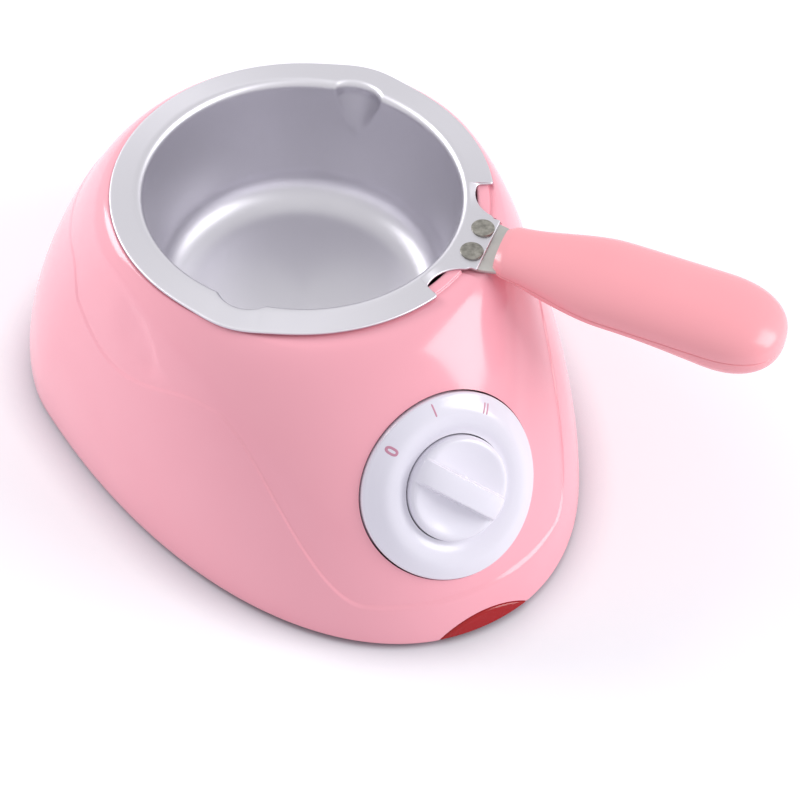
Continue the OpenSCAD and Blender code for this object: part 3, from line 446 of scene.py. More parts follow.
# Bottom cover
# A flat moulding in the same plastic but with a matt grain. Four screws hold it, and its slots let air in.
def dress(material, *names):
    """Gives CAD nodes a finish"""
    for name in names:
        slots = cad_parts[name].data.materials
        slots.clear()
        slots.append(material)


# The mould's sparked grain, about 0.6 mm from hill to hill, takes the shine away
matt_pink_abs = moulded("matt_moulded_pink_abs", "#F8A7B3", "#FBACB7", 0.48, 0.06, 0.6, 0.02, IOR=1.53)
dress(matt_pink_abs, "bottom_cover")

# Rubber feet
# Four soft rubber pads carry the base, each pushed into the cover by its stem.
def instancer():
    """A tree that sets a part at each point, turned by its own angle about the vertical"""
    tree = bpy.data.node_groups.new("parts_at_points", "GeometryNodeTree")
    for label, way, kind in (("Geometry", "OUTPUT", "NodeSocketGeometry"),
                             ("Geometry", "INPUT", "NodeSocketGeometry"),
                             ("Part", "INPUT", "NodeSocketObject"), ("Finish", "INPUT", "NodeSocketMaterial"),
                             ("Turn", "INPUT", "NodeSocketFloat"), ("Seed", "INPUT", "NodeSocketInt")):
        tree.interface.new_socket(label, in_out=way, socket_type=kind)
    given = add(tree, "NodeGroupInput")
    part = add(tree, "GeometryNodeObjectInfo", {"Object": given.outputs["Part"]})
    angle = add(tree, "FunctionNodeRandomValue", {3: given.outputs["Turn"], "Seed": given.outputs["Seed"]},
                data_type="FLOAT")
    spin = add(tree, "FunctionNodeAxisAngleToRotation", {"Axis": (0, 0, 1), "Angle": angle.outputs[1]})
    copies = add(tree, "GeometryNodeInstanceOnPoints", {"Points": given.outputs["Geometry"],
                                                        "Instance": part.outputs["Geometry"],
                                                        "Rotation": spin.outputs[0]})
    real = add(tree, "GeometryNodeRealizeInstances", {"Geometry": copies.outputs[0]})
    done = add(tree, "GeometryNodeSetMaterial", {"Geometry": real.outputs[0],
                                                 "Material": given.outputs["Finish"]})
    add(tree, "NodeGroupOutput", {"Geometry": done.outputs[0]})
    return tree


parts_at_points = instancer()


def repeated(name, part, places, turn, seed):
    """One plain mesh of a part's copies at places in millimetres"""
    mesh = bpy.data.meshes.new(name)
    mesh.from_pydata([[c / 1000 for c in place] for place in places], [], [])
    holder = bpy.data.objects.new(name, mesh)
    scene.collection.objects.link(holder)
    layout = holder.modifiers.new("layout", "NODES")
    layout.node_group = parts_at_points
    values = {"Part": part, "Finish": part.data.materials[0], "Turn": turn, "Seed": seed}
    for item in parts_at_points.interface.items_tree:
        if item.in_out == "INPUT" and item.name in values:
            layout[item.identifier] = values[item.name]
    bpy.context.view_layer.update()
    mesh = bpy.data.meshes.new_from_object(holder.evaluated_get(bpy.context.evaluated_depsgraph_get()))
    bpy.data.objects.remove(holder)
    bpy.data.objects.remove(part)
    piece = bpy.data.objects.new(name, mesh)
    scene.collection.objects.link(piece)
    return piece


# Dull, with a fine dry grain that scatters all shine
grey_rubber = moulded("moulded_grey_rubber", "#4B4B4D", "#565658", 0.72, 0.08, 0.5, 0.03, IOR=1.52)
pad_profile = [(0, 0), (4.6, 0), (5.5, 0.05), (5.9, 0.25), (6.1, 0.6), (6.85, 2.1), (6.8, 2.3), (6.5, 2.4),
               (3, 2.4), (3, 4.6), (4.1, 4.6), (4.15, 4.9), (2.5, 6.5), (2.2, 6.6), (0, 6.6)]
foot_places = [(56, -42, 0), (-56, -42, 0), (44, 62, 0), (-44, 62, 0)]
pad = ring_mesh("foot_pad", turned(pad_profile, 64), grey_rubber)
feet = repeated("foot_pads", pad, foot_places, turn=0.0, seed=1)
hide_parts("rubber_feet")
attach(feet, "base")

# Cover screws
# Four steel pan heads with a cross recess, sunk in the cover, hold it to the shell's bosses.

# Zinc plating is pale and slightly cloudy, so its shine is soft at the edges
plated_steel = moulded("zinc_plated_steel", "#A9ABAE", "#BDBFC3", 0.3, 0.08, 0.8, 0.004, Metallic=1.0)


def screw(head_r, head_h, shank_r, shank_h, finish_used):
    """A pan-head screw that points up from its head at the origin, with a cross recess below"""
    rings = turned([(0, -head_h), (head_r * 0.55, -head_h), (head_r * 0.82, -head_h * 0.86),
                    (head_r * 0.96, -head_h * 0.5), (head_r, -head_h * 0.12), (head_r * 0.98, 0),
                    (shank_r, 0), (shank_r, shank_h - shank_r), (shank_r * 0.2, shank_h), (0, shank_h)], 32)
    body = ring_mesh("screw", rings, finish_used)
    # Half width and half length of each slot of the cross
    half, arm = 0.35, head_r * 0.6
    low, high = -head_h - 1, -head_h * 0.5
    cutters = [box([(-wide, -deep), (wide, -deep), (wide, deep), (-wide, deep)], low, high, finish_used)
               for wide, deep in ((arm, half), (half, arm))]
    return cut(body, *cutters)


cover_screw_z = 3.69
cover_screw = screw(head_r=3.2, head_h=1.2, shank_r=1.4, shank_h=9.9, finish_used=plated_steel)
cover_screws = repeated("cover_screw_set", cover_screw, [(x, y, cover_screw_z) for x, y in boss_places],
                        turn=2 * math.pi, seed=3)
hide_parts("cover_screws")
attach(cover_screws, "base")

# Heater under the well
# The well is drawn aluminium with a stud welded under it. Mica sheets hold a flat element against it, and
# a steel plate, nuts, a heat shield, a thermostat and a fuse in a glass sleeve hang below. The well has
# faint rings, the mica is a flaky amber, the element is dark with oxide, and the steel is a cloudy grey.
spun_marks_mm = 0.6
spun_cloud_mm = 9


def spun_aluminium(name, colour, roughness, spread, mark_depth_mm):
    """Aluminium with fine rings from the spinning tool, drawn wider apart than real ones so that they show"""
    material, tree, shader = finish(name, Base_Color=srgb(colour), Metallic=1.0, Anisotropic=0.6)
    place = add(tree, "ShaderNodeTexCoord").outputs["Object"]
    round_axis = add(tree, "ShaderNodeVectorMath", {0: (0, 0, 1), 1: place}, operation="CROSS_PRODUCT")
    tree.links.new(round_axis.outputs[0], shader.inputs["Tangent"])
    level = add(tree, "ShaderNodeVectorMath", {0: place, 1: (1, 1, 0)}, operation="MULTIPLY")
    out = add(tree, "ShaderNodeVectorMath", {0: level.outputs[0]}, operation="LENGTH")
    split = add(tree, "ShaderNodeSeparateXYZ", {0: place})
    depth = add(tree, "ShaderNodeMath", {0: out.outputs["Value"], 1: split.outputs["Z"]},
                operation="SUBTRACT")
    marks = add(tree, "ShaderNodeTexNoise", {"W": depth.outputs[0], "Scale": 1000 / spun_marks_mm,
                                             "Detail": 3.0}, noise_dimensions="1D")
    cloud = add(tree, "ShaderNodeTexNoise", {"Vector": place, "Scale": 1000 / spun_cloud_mm, "Detail": 3.0})
    both = add(tree, "ShaderNodeMath", {0: marks.outputs["Fac"], 1: cloud.outputs["Fac"]}, operation="ADD")
    gloss = add(tree, "ShaderNodeMapRange", {"Value": both.outputs[0], "From Max": 2.0,
                                             "To Min": roughness - spread, "To Max": roughness + spread})
    relief = add(tree, "ShaderNodeBump", {"Height": marks.outputs["Fac"], "Strength": 1.0,
                                          "Distance": mark_depth_mm / 1000})
    tree.links.new(gloss.outputs["Result"], shader.inputs["Roughness"])
    tree.links.new(relief.outputs["Normal"], shader.inputs["Normal"])
    return material


dress(spun_aluminium("drawn_aluminium", "#CFD1D4", 0.38, 0.1, 0.006), "well_cup")
dress(moulded("pressed_mica_sheet", "#A98F66", "#C2AA80", 0.4, 0.1, 1.2, 0.02, IOR=1.58),
      "upper_mica", "lower_mica")
dress(moulded("oxidised_heating_plate", "#6A6460", "#837A72", 0.5, 0.1, 1.5, 0.02, Metallic=1.0),
      "heating_element")
dress(moulded("pressed_aluminised_steel", "#B4B6B8", "#C6C8CA", 0.4, 0.08, 3.0, 0.01, Metallic=1.0),
      "clamp_plate", "heat_shield", "thermostat_strap")
dress(plated_steel, "well_stud", "stud_nuts", "shield_screws")
dress(moulded("black_phenolic", "#161617", "#1F1F21", 0.35, 0.08, 0.8, 0.01, IOR=1.6), "thermostat")
dress(moulded("gilt_fuse_case", "#B9924A", "#CBA55C", 0.3, 0.06, 0.8, 0.004, Metallic=1.0), "thermal_fuse")
dress(moulded("braided_glass_sleeve", "#E6E3D9", "#F1EFE8", 0.8, 0.08, 0.5, 0.08, IOR=1.5), "fuse_sleeve")

# Rotary switch, lamp and wiring inside
# A grey nylon case with brass contacts, a steel shaft and a cream rotor. A neon lamp sits in its holder
# behind the lens, and leads run to a terminal block and a cord clamp. The nylon is dull, the brass clean
# and yellow, the lamp an orange glass, and each lead has the colour of its circuit in soft PVC.
# A waxy half shine with a fine grain
grey_nylon = moulded("moulded_grey_nylon", "#55585C", "#606368", 0.5, 0.08, 0.8, 0.02, IOR=1.53)
cream_nylon = moulded("moulded_cream_nylon", "#E4DFD0", "#EDE9DC", 0.45, 0.08, 0.8, 0.02, IOR=1.53)
dress(grey_nylon, "switch_cover", "switch_base")
dress(moulded("stamped_brass", "#C09A4E", "#CFAB61", 0.3, 0.08, 0.8, 0.005, Metallic=1.0),
      "switch_contacts", "terminal_screws")
dress(plated_steel, "switch_screws", "detent_ball", "detent_leaf", "switch_shaft", "knob_spring",
      "block_screws", "clamp_screws")
dress(cream_nylon, "detent_rotor", "lamp_holder", "terminal_block", "cord_clamp")
dress(moulded("neon_lamp_glass", "#F0A070", "#F6B184", 0.08, 0.02, 2.0, 0.001, IOR=1.5,
              Transmission_Weight=0.7), "neon_lamp")
dress(moulded("painted_resistor", "#CDB98F", "#D8C69F", 0.4, 0.06, 0.6, 0.01, IOR=1.5), "lamp_resistor")
for lead_name, low, high in (("live_lead", "#6A3B20", "#754427"), ("switched_lead", "#141415", "#1C1C1E"),
                             ("fuse_leads", "#EDEBE3", "#F5F3EC"), ("neutral_lead", "#3E6E9C", "#4879A8"),
                             ("lamp_leads", "#87898C", "#929497"), ("earth_lead", "#7FA63A", "#8CB246")):
    dress(moulded("pvc_of_" + lead_name, low, high, 0.45, 0.06, 0.8, 0.01, IOR=1.54), lead_name)

# Cord gland
# A grey moulded bush, snapped into the rear wall. Its rim is rounded and it stands a little proud.
gland_profile = [(3.5, -6), (5, -6), (5, -5), (6.4, -5), (6.4, -3.4), (5, -3.4), (5, -0.8), (7, -0.8),
                 (6.9, -0.3), (5.9, 1.7), (5.6, 2.1), (5.1, 2.2), (4.0, 2.2), (3.6, 2.0), (3.5, 1.6)]
gland_rings = moved(turned(gland_profile, 96), (0, body_rear, gland_z), (0, 1, 0))
gland = ring_mesh("cord_bush", gland_rings, grey_nylon, closed=True)
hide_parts("cord_gland")
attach(gland, "base")

# Dial bezel
# A white ABS ring with a cup for the knob. Its face is level at the knob and follows the front panel at
# its rim, and it is pressed in so close that only a hairline shows round it.
def at_dial(points):
    """From the dial's own frame, whose third axis leaves the dial, to the object's"""
    x, y, h = np.moveaxis(np.asarray(points, float), -1, 0)
    return np.stack([x, dial_y + y * math.sin(dial_tilt) - h * math.cos(dial_tilt),
                     dial_z + y * math.cos(dial_tilt) + h * math.sin(dial_tilt)], -1)


def through(points, count):
    """A smooth curve through points, with count steps between each two"""
    p = np.asarray(points, float)
    padded = np.vstack([2 * p[0] - p[1], p, 2 * p[-1] - p[-2]])
    out = []
    for a, b, c, d in zip(padded, padded[1:], padded[2:], padded[3:]):
        for u in np.linspace(0, 1, count, endpoint=False):
            out.append(0.5 * (2 * b + (c - a) * u + (2 * a - 5 * b + 4 * c - d) * u * u
                              + (3 * b - a - 3 * c + d) * u ** 3))
    return np.array(out + [p[-1]])


# The same gloss as the pink, in a white with a trace of violet
white_abs = moulded("glossy_moulded_white_abs", "#E9E6EF", "#EDEAF3", 0.18, 0.03, 2.0, 0.0012, IOR=1.53)
recess_r = 17.15
bezel_r = 30.0
dial_columns = 360
around_dial = np.linspace(0, 2 * np.pi, dial_columns, endpoint=False)


def panel_h(x, y):
    """How far the front panel lies below the dial's plane; it curves more across than along"""
    return -0.45 - x * x / 152 - y * y / 600


def dial_ring(r, h, follow):
    """A ring about the dial's axis, which follows the panel's curve by a share"""
    x, y = r * np.cos(around_dial), r * np.sin(around_dial)
    return at_dial(np.stack([x, y, h + follow * panel_h(x, y)], -1))


# Share of the way from the recess to the rim, and height
face_rows = through([[0, -0.6], [0.1, -0.5], [0.3, 0.6], [0.55, 1.8], [0.75, 1.9], [0.92, 1.5],
                     [0.965, 1.3]], 7)


def face_h(r):
    """Height of the bezel's face above the panel at a radius"""
    return np.interp((r - recess_r) / (bezel_r - recess_r), face_rows[:, 0], face_rows[:, 1])


def sloped(v, h):
    """A ring of the face at a share of the way out, which goes over from level to following the panel"""
    return dial_ring(recess_r + (bezel_r - recess_r) * v, h, smooth(0, 1, v))


bezel_t = 2.0
bezel_rings = [dial_ring(r, h, 0) for r, h in ((5.1, -6.5), (5.1, -5), (16.5, -5), (17.0, -4.8),
                                              (recess_r, -4.2), (recess_r, -1.0))]
bezel_rings += [sloped(v, h) for v, h in face_rows]
bezel_rings += [dial_ring(r, h, 1) for r, h in ((29.72, 1.12), (29.9, 0.85), (29.95, 0.5), (29.8, -0.6))]
bezel_rings += [dial_ring(29.8, -12, 0), dial_ring(28, -12, 0), dial_ring(28, -2, 1)]
bezel_rings += [sloped(v, h - bezel_t) for v, h in face_rows[28:13:-3]]
bezel_rings += [dial_ring(19.3, -2.6, 0), dial_ring(19.3, -6.5, 0)]
bezel = ring_mesh("dial_bezel_ring", bezel_rings, white_abs, closed=True)
# Two pillars behind it take the switch's screws
pillar_profile = [(1.15, -9), (3, -9), (3, -2.2), (1.15, -2.2)]
pillars = []
for pillar_x in (-23, 23):
    pillar = [at_dial(ring) for ring in moved(turned(pillar_profile, 48), (pillar_x, 0, 0))]
    pillars.append(ring_mesh("pillar", pillar, white_abs, closed=True))
bezel = joined("dial_bezel_ring", bezel, *pillars)
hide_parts("dial_bezel")
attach(bezel, "base")

# Dial marks
# 0, I and II are pad printed on the bezel in a mauve-pink ink, about as thick as paint and a little duller
# than the plastic.

# A flat tint that takes the plastic's shine off where it is printed
mark_ink = moulded("pad_printed_mauve_ink", "#C98AA0", "#CE90A6", 0.42, 0.04, 0.8, 0.002, IOR=1.5)


def printed(name, line, half_width):
    """A printed stroke along a line of points on the bezel; a line that ends where it began makes a loop"""
    line = np.asarray(line, float)
    loop = np.allclose(line[0], line[-1])
    if loop:
        line = line[:-1]
        ahead, behind = np.roll(line, -1, 0), np.roll(line, 1, 0)
    else:
        ahead, behind = np.vstack([line[1:], line[-1]]), np.vstack([line[0], line[:-1]])
    way = (ahead - behind) / np.linalg.norm(ahead - behind, axis=1)[:, None]
    side = np.stack([-way[:, 1], way[:, 0]], -1)
    width = np.full(len(line), half_width)
    if not loop:
        from_end = np.minimum(np.arange(len(line)), np.arange(len(line))[::-1]) / 4
        width = half_width * np.sqrt(1 - (1 - np.minimum(1, from_end)) ** 2)
    rings = []
    for share, lift in ((-1, -0.12), (-1, 0.015), (-0.9, 0.03), (0.9, 0.03), (1, 0.015), (1, -0.12)):
        at = line + side * (width * share)[:, None]
        r = np.linalg.norm(at, axis=1)
        base_h = face_h(r) + smooth(0, 1, (r - recess_r) / (bezel_r - recess_r)) * panel_h(at[:, 0], at[:, 1])
        rings.append(at_dial(np.stack([at[:, 0], at[:, 1], base_h + lift], -1)))
    grid = np.stack(rings, 1)
    return ring_mesh(name, list(grid), mark_ink, closed=loop, sharp_angle=30)


def radial(angle, across, out, r):
    """A point by a mark's own axes: out from the dial's axis, and across"""
    c, s = math.cos(math.radians(angle)), math.sin(math.radians(angle))
    return [(r + out) * c - across * s, (r + out) * s + across * c]


zero_bearing, zero_r, zero_stroke, line_stroke = 132.2, 26.2, 0.4, 0.28
zero_line = [radial(zero_bearing, 0.86 * spow(math.sin(a), 0.75), 1.6 * spow(math.cos(a), 0.85), zero_r)
             for a in np.linspace(0, 2 * np.pi, 61)]
zero_line[-1] = zero_line[0]
strokes = [printed("stroke", zero_line, zero_stroke)]
# Bearing, radius, half length and offsets of the strokes of I and of II
for bearing_of, mark_r, half_len, offsets in ((92.6, 26.8, 2.1, (0,)), (52.2, 26.0, 1.75, (-0.62, 0.62))):
    for offset in offsets:
        line = [radial(bearing_of, offset, out, mark_r) for out in np.linspace(-half_len, half_len, 25)]
        strokes.append(printed("stroke", line, line_stroke))
marks = joined("dial_marks", *strokes)
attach(marks, "base")

# Knob
# One white ABS moulding: a low dome with a bar across it to hold, and a hollow at each side of the bar for
# the fingertips. It is pressed on the switch's shaft.
knob_r = 16.8
bar_way = math.radians(134)
bar_half = 3.6
hollow_depth = 1.8
hollow_off, hollow_half_w, hollow_half_len = 6.4, 8.6, 13.2
# Share of the knob's radius, and height, of the dome and along the bar's crest
dome_rows = through([[0, 3.5], [0.3, 3.5], [0.6, 3.4], [0.85, 3.1], [0.94, 2.6], [0.985, 1.9]], 6)
crest_rows = through([[0, 7.5], [0.25, 7.4], [0.5, 7.0], [0.74, 6.1], [0.88, 4.8], [0.96, 3.0],
                      [0.985, 1.9]], 6)


def soft_max(a, b, softness):
    """The larger of two values, with a rounded corner where they meet"""
    return 0.5 * (a + b + np.sqrt((a - b) ** 2 + softness ** 2))


def knob_ring(share):
    """A ring of the knob's face at a share of its radius"""
    x, y = share * knob_r * np.cos(around_dial), share * knob_r * np.sin(around_dial)
    off = np.abs(-x * math.sin(bar_way) + y * math.cos(bar_way))
    along = x * math.cos(bar_way) + y * math.sin(bar_way)
    dome = np.interp(share, dome_rows[:, 0], dome_rows[:, 1])
    crest = np.interp(share, crest_rows[:, 0], crest_rows[:, 1])
    scoop = 1 - ((off - hollow_off) / hollow_half_w) ** 2 - (along / hollow_half_len) ** 2
    hollow = hollow_depth * soft_max(scoop, 0, 0.1)
    on_bar = 1 - smooth(bar_half - 0.1, bar_half + 0.6, off)
    h = (dome - hollow) * (1 - on_bar) + (crest - 0.25 * (off / bar_half) ** 2) * on_bar
    return at_dial(np.stack([x, y, h], -1))


knob_skirt = [(0, 3.2), (3.02, 3.2), (3.02, -4.4), (5.6, -4.4), (5.6, -1.5), (14.8, -1.5), (14.8, -3.5),
              (16.6, -3.5), (16.8, -3.3), (16.8, 0.7), (16.78, 1.1), (16.7, 1.5)]
knob_rings = [at_dial(ring) for ring in turned(knob_skirt, dial_columns)]
knob_rings += [knob_ring(share)
               for share in np.concatenate([np.linspace(0.985, 0.86, 22), np.linspace(0.85, 0, 70)])]
knob = ring_mesh("knob_moulding", knob_rings, white_abs, sharp_angle=50)
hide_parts("knob")
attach(knob, "knob")

# Lamp lens
# A clear red polycarbonate window in the foot's front edge, held in the shell's arch. Its outside is
# polished and its back is ribbed, so that the lamp behind it shows as glints.

# Deep clear red with a hard polish, which lets a quarter of the light through
red_lens = moulded("polished_red_polycarbonate", "#B4060F", "#C00A14", 0.07, 0.02, 3.0, 0.001, IOR=1.586,
                   Transmission_Weight=0.25, Specular_IOR_Level=0.25)
nose_r = 63.0
nose_taper = 0.42
lens_gap = 0.3
lens_front = body_front + 0.3
lens_low = 2.2
lens_t = 2.6
rib_height = 0.4
rib_pitch = 1.5
lens_edge, lens_edge_w = 0.45, 0.6
lens_arch = arch_r - lens_gap
lens_half = math.sqrt(lens_arch ** 2 - (lens_low - arch_z) ** 2)


def lens_section(share):
    """The lens cut across at a share of its half width"""
    x = lens_half * share
    top = max(lens_low, arch_z + math.sqrt(max(0, lens_arch ** 2 - x * x)))
    points = []
    for v in np.linspace(0, 1, 17):
        z = lens_low + (top - lens_low) * v
        edge = lens_edge * max(0, 1 - min(v, 1 - v) * (top - lens_low) / lens_edge_w) ** 2
        nose = math.sqrt((nose_r - nose_taper * (z - lens_low)) ** 2 - x * x)
        points.append([x, nose_r - lens_front - nose + edge, z])
    rib = rib_height * math.cos(2 * math.pi * x / rib_pitch)
    back = [[x, y + lens_t + rib, z] for _, y, z in points[::-1]]
    return np.array(points + back)


lens_sections = [lens_section(math.sin(a)) for a in np.linspace(-np.pi / 2, np.pi / 2, 161)]
lens = ring_mesh("lamp_window", lens_sections, red_lens, sharp_angle=50)
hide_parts("lamp_lens")
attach(lens, "base")

# Pot
# One sheet of aluminium, 1 mm thick, is drawn into a bowl with two spouts and a flange that falls a little
# to its edge. A notch is cut at each side of the tab that carries the handle.

# Satin from the tool. Fine rings smear the light into soft bright bands round the wall
bowl_aluminium = spun_aluminium("satin_spun_aluminium", "#D3D1D8", 0.4, 0.05, 0.003)
bowl_r = 50.6
bowl_low_r = 47.6
bowl_floor = 40.0
bowl_corner = 13.0
sheet_t = 1.0
flange_r = 61.0
lip_x = 41.0
lip_r = 21.3
lip_softness = 2.2
tab_end = 62.5
tab_half = 11.8
# A notch's middle along and across the handle, its radius, and the bearing where it stops
notch = (62.3, 23.9, 11.8)
notch_end = math.radians(25.7)
mouth_round = 2.6
spout_softness = 0.3
brim_rise = 1.0
brim_low_r = 60.0
brim_high_r = 54.0


def ray_circle(angle, centre_x, centre_angle, r):
    """How far a ray from the pot's axis runs to the far side of a circle, or 0 where it misses"""
    off = angle - centre_angle
    inside = r * r - (centre_x * np.sin(off)) ** 2
    far_side = centre_x * np.cos(off) + np.sqrt(np.maximum(0, inside))
    return np.where((inside > 0) & (np.cos(off) > 0), far_side, 0.0)


def flange_reach(angle):
    """The flange's outline as a radius, counted from the handle"""
    reach = np.full_like(angle, flange_r)
    for side in spout_sides:
        reach = soft_max(reach, ray_circle(angle, lip_x, side, lip_r), lip_softness)
    on_tab = np.abs(np.tan(angle)) * tab_end < tab_half
    reach = np.where(on_tab & (np.cos(angle) > 0), tab_end / np.cos(angle), reach)
    far = math.hypot(notch[0], notch[1])
    off = np.abs(angle) - math.atan2(notch[1], notch[0])
    inside = notch[2] ** 2 - (far * np.sin(off)) ** 2
    near = np.where(inside > 0, far * np.cos(off) - np.sqrt(np.maximum(0, inside)), 1e3)
    return np.where(np.abs(angle) < notch_end, np.minimum(reach, near), reach)


# The outline as points an even way apart, with its corners eased
fine_angle = np.linspace(-np.pi, np.pi, 24001)
fine_reach = flange_reach(fine_angle)
fine = np.stack([fine_reach * np.cos(fine_angle), fine_reach * np.sin(fine_angle)], -1)
length = np.concatenate([[0], np.cumsum(np.linalg.norm(np.diff(fine, axis=0), axis=1))])
pot_columns = 760
even = np.linspace(0, length[-1], pot_columns, endpoint=False)
outline = np.stack([np.interp(even, length, fine[:, k]) for k in (0, 1)], -1)
for _ in range(3):
    outline = 0.25 * np.roll(outline, 1, 0) + 0.5 * outline + 0.25 * np.roll(outline, -1, 0)
way = np.roll(outline, -1, 0) - np.roll(outline, 1, 0)
outward = np.stack([way[:, 1], -way[:, 0]], -1) / np.linalg.norm(way, axis=1)[:, None]
column = np.arctan2(outline[:, 1], outline[:, 0])


def mouth(z, grow):
    """Radius of the bowl's wall, spouts included, at a height, grown outward"""
    share = (z - bowl_floor - bowl_corner) / (flange_z + 1 - bowl_floor - bowl_corner)
    reach = np.full_like(column, bowl_low_r + (bowl_r - bowl_low_r) * share + grow)
    for side in spout_sides:
        if z > spout_low:
            reach = soft_max(reach, ray_circle(column, spout_x, side, spout_r(z) + grow), spout_softness)
    return reach


def risen(r):
    """How far the flange stands above its edge at a radius: it is spun very slightly conical"""
    return brim_rise * np.clip((brim_low_r - r) / (brim_low_r - brim_high_r), 0, 1)


def level_ring(r, z):
    """A level ring with a radius for each column, in the object's frame"""
    return along_handle(np.stack([r * np.cos(column), r * np.sin(column), np.full_like(column, z)], -1))


def edge_ring(inset, z):
    """The flange's outline, drawn in along its own normal"""
    at = outline - outward * inset
    return along_handle(np.stack([at[:, 0], at[:, 1], np.full_like(column, z)], -1))


def cup_rings(grow, low, brim_z, brim_round):
    """Rings of the bowl's inside or outside, from the middle of the floor up to the flange"""
    flat = bowl_low_r - bowl_corner
    rings = [level_ring(np.full_like(column, flat * v), low) for v in (0, 0.02, 0.2, 0.45, 0.7, 0.88, 1)]
    corner = bowl_corner + grow
    for a in np.radians(np.linspace(6, 90, 15)):
        rings.append(level_ring(np.full_like(column, flat + corner * math.sin(a)),
                                low + corner * (1 - math.cos(a))))
    wall_top = brim_z - brim_round
    for z in np.linspace(bowl_floor + bowl_corner, wall_top, 22)[1:]:
        rings.append(level_ring(mouth(z, grow), z))
    top = mouth(wall_top, grow)
    for a in np.radians(np.linspace(10, 90, 9)):
        r = top + brim_round * (1 - math.cos(a))
        rings.append(level_ring(r, wall_top + brim_round * math.sin(a) + risen(r) * math.sin(a)))
    return rings


inside = cup_rings(0, bowl_floor, flange_z, mouth_round)
outside = cup_rings(sheet_t, bowl_floor - sheet_t, deck_z, mouth_round - sheet_t)
brim = [edge_ring(inset, z) for inset, z in ((0.35, 87.0), (0.1, 86.9), (0, 86.65), (0, 86.35), (0.1, 86.1),
                                             (0.35, 86.0))]
brim_in = inside[-1]
across = [brim_in + (brim[0] - brim_in) * v for v in (0.15, 0.4, 0.7, 0.92)]
pot = ring_mesh("pot_bowl_sheet", inside + across + brim + outside[::-1], bowl_aluminium, sharp_angle=50)
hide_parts("pot_bowl")
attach(pot, "pot")

# Handle bracket and rivets
# A flat steel tongue under the tab, with its edges broken, matt from tumbling. Two soft rivets hold it, and
# their heads are dull and mottled from the press.
def softened(points, times):
    """A closed outline with its corners cut off, over and over"""
    p = np.asarray(points, float)
    for _ in range(times):
        q = np.roll(p, -1, 0)
        p = np.stack([0.85 * p + 0.15 * q, 0.15 * p + 0.85 * q], 1).reshape(-1, 2)
    return p


# Tumbling leaves an even pale grey with no clear reflection
matt_steel = moulded("tumbled_matt_steel", "#B4B2B0", "#C6C4C1", 0.46, 0.1, 0.3, 0.012, Metallic=1.0)
bracket_outline = softened([[54.6, -10.5], [62.5, -10.8], [66, -10.0], [69, -9.4], [73, -6.5], [104, -6.5],
                            [104, 6.5], [73, 6.5], [69, 9.4], [66, 10.0], [62.5, 10.8], [54.6, 10.5]], 3)
bracket_edge = [(60, 84.7), (0.3, 84.7), (0.08, 84.78), (0, 85.0), (0, 85.7), (0.08, 85.92), (0.3, 86.0),
                (60, 86.0)]
bracket_rings = []
for inset, z in bracket_edge:
    middle = np.stack([np.clip(bracket_outline[:, 0], 56, 102), np.zeros(len(bracket_outline))], -1)
    reach = middle - bracket_outline
    size = np.linalg.norm(reach, axis=1)[:, None]
    at = bracket_outline + reach / size * np.minimum(inset, size)
    bracket_rings.append(along_handle(np.column_stack([at, np.full(len(at), z)])))
bracket = ring_mesh("bracket_tongue", bracket_rings, matt_steel)
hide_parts("handle_bracket")
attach(bracket, "pot")

# Coarse dark and light specks, where the press has bruised the soft metal
pressed_rivet = moulded("pressed_rivet_metal", "#55534F", "#B9B6AE", 0.45, 0.12, 0.13, 0.02, Metallic=1.0)
rivet_profile = [(0, 84.7), (2, 84.7), (2, 86.9), (3.2, 86.95), (3.72, 87.45), (3.74, 87.75), (3.6, 88.0),
                 (3.2, 88.1), (2.2, 88.12), (0, 88.05)]
rivet_places = along_handle([[58.6, -5.4, 0], [58.6, 5.4, 0]])
rivet = ring_mesh("rivet", turned(rivet_profile, 64), pressed_rivet)
rivets = repeated("bracket_rivet_pair", rivet, rivet_places, turn=2 * math.pi, seed=5)
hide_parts("bracket_rivets")
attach(rivets, "pot")

# Grip
# Two glossy pink ABS shells meet along a sloping seam, which shows as a fine groove, and close round the
# bracket's tongue. Two screws hold them from below.
grip_start = 66.5
grip_len = 92.4
grip_shell = 2.2
grip_power = 2 / 2.4
tip_start = 0.75
tip_power = 2.35
neck_share = 0.04
grip_screw_xs = (88, 138)
grip_screw_depth = 3


def end_round(s):
    """How far the grip's section has shrunk towards either end"""
    if s > tip_start:
        return max(0.0, 1 - ((s - tip_start) / (1 - tip_start)) ** tip_power) ** (1 / tip_power)
    return 0.8 + 0.2 * math.sin(math.pi / 2 * s / neck_share) if s < neck_share else 1.0


def seam_z(s):
    """Height of the seam, which slopes down from the neck to the tip"""
    return 85.4 - 4.4 * s


def screw_seat(x):
    """Height of the seat of a grip screw, below the seam"""
    return seam_z((x - grip_start) / grip_len) - grip_screw_depth


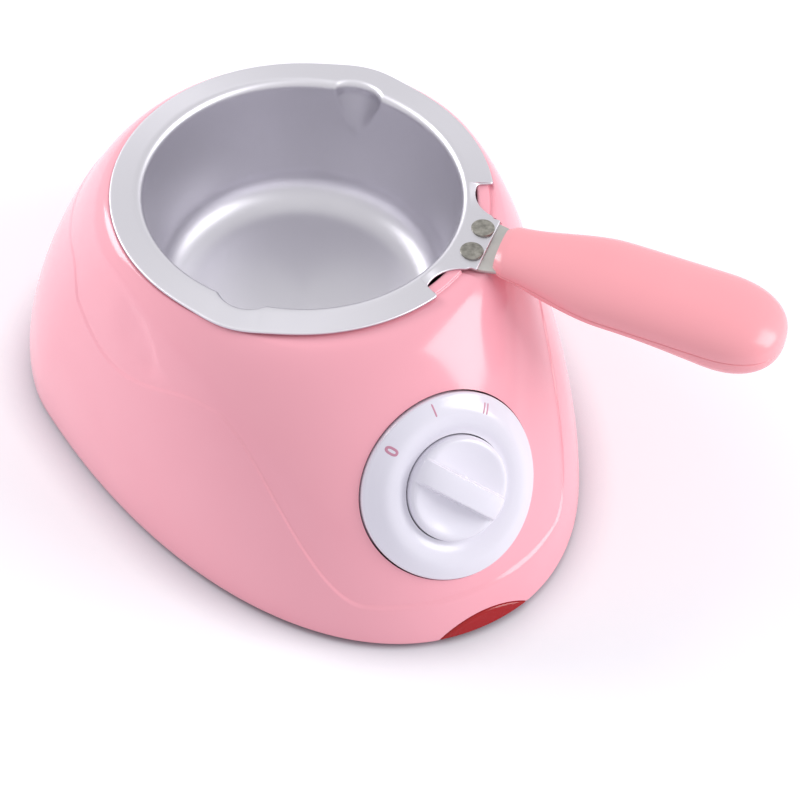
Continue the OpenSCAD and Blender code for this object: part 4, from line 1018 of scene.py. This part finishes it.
def grip_section(s, way):
    """A closed section of the upper (way 1) or lower (way -1) shell"""
    # Half width and heights in mm: those of the neck, and what they gain towards the middle and the tip
    w = float(10.4 + 6.4 * smooth(0, 0.4, s) + 0.3 * smooth(0.3, 0.9, s)) * end_round(s)
    low = 1.4 + 4.2 * smooth(0, 0.2, s) + 5.4 * smooth(0.45, 0.9, s)
    h = float(5.8 + 4.6 * smooth(0, 0.45, s) if way > 0 else low) * end_round(s)
    hollow = float(smooth(0.03, 0.07, s) * (1 - smooth(0.9, 0.96, s)))
    w_in, h_in = max(0.0, w - grip_shell) * hollow, max(0.0, h - grip_shell) * hollow
    chamfer = min(0.3, w / 2, h / 2)
    side = [(w - chamfer, 0.0), (w - 0.3 * chamfer, 0.35 * chamfer), (w, chamfer)]
    arc = []
    for a in np.radians(np.linspace(0, 180, 57))[1:-1]:
        y, z = w * spow(math.cos(a), grip_power), h * math.sin(a) ** grip_power
        arc.append((y, max(z, chamfer)))
    loop = side + arc + [(-y, z) for y, z in side[::-1]]
    loop += [(-w_in * spow(math.cos(a), grip_power), h_in * abs(math.sin(a)) ** grip_power)
             for a in np.radians(np.linspace(0, 180, 25))]
    x = grip_start + grip_len * s
    return along_handle([[x, y, seam_z(s) + way * (0.05 + z)] for y, z in loop])


# The same plastic as the body, in a warmer pink with a softer gloss
grip_abs = moulded("glossy_moulded_salmon_abs", "#FBA5AC", "#FDAAB0", 0.24, 0.03, 2.0, 0.0012, IOR=1.53)
stations = np.concatenate([np.linspace(0, 0.05, 9), np.linspace(0.06, 0.75, 52),
                           0.75 + 0.25 * np.sin(np.linspace(0, np.pi / 2, 36))[1:]])
for way_up, shell_name, node_name in ((1, "grip_top_shell", "handle_upper"),
                                      (-1, "grip_bottom_shell", "handle_lower")):
    rings = [grip_section(s, way_up) for s in stations]
    rings = [np.tile(rings[0].mean(0), (len(rings[0]), 1))] + rings
    shell = ring_mesh(shell_name, rings, grip_abs, sharp_angle=50)
    if way_up < 0:
        wells, posts = [], []
        for screw_x in grip_screw_xs:
            at = along_handle([screw_x, 0, 0])
            seat = screw_seat(screw_x)
            wells.append(rod(60, seat, 2.8, at, (0, 0, 1)))
            post = turned([(2.8, 77), (3.8, 77), (3.8, seat + 2.2), (1.6, seat + 2.2), (1.6, seat),
                           (2.8, seat)], 48)
            posts.append(ring_mesh("post", moved(post, at), pink_abs, closed=True))
        cut(shell, *wells, sharp_angle=50)
        shell = joined(shell_name, shell, *posts)
    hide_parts(node_name)
    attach(shell, "pot")

grip_screw = screw(head_r=2.6, head_h=1.6, shank_r=1.25, shank_h=8.9, finish_used=plated_steel)
screw_seats = along_handle([[x, 0, screw_seat(x)] for x in grip_screw_xs])
grip_screws = repeated("grip_screw_pair", grip_screw, screw_seats, turn=2 * math.pi, seed=7)
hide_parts("handle_screws")
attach(grip_screws, "pot")
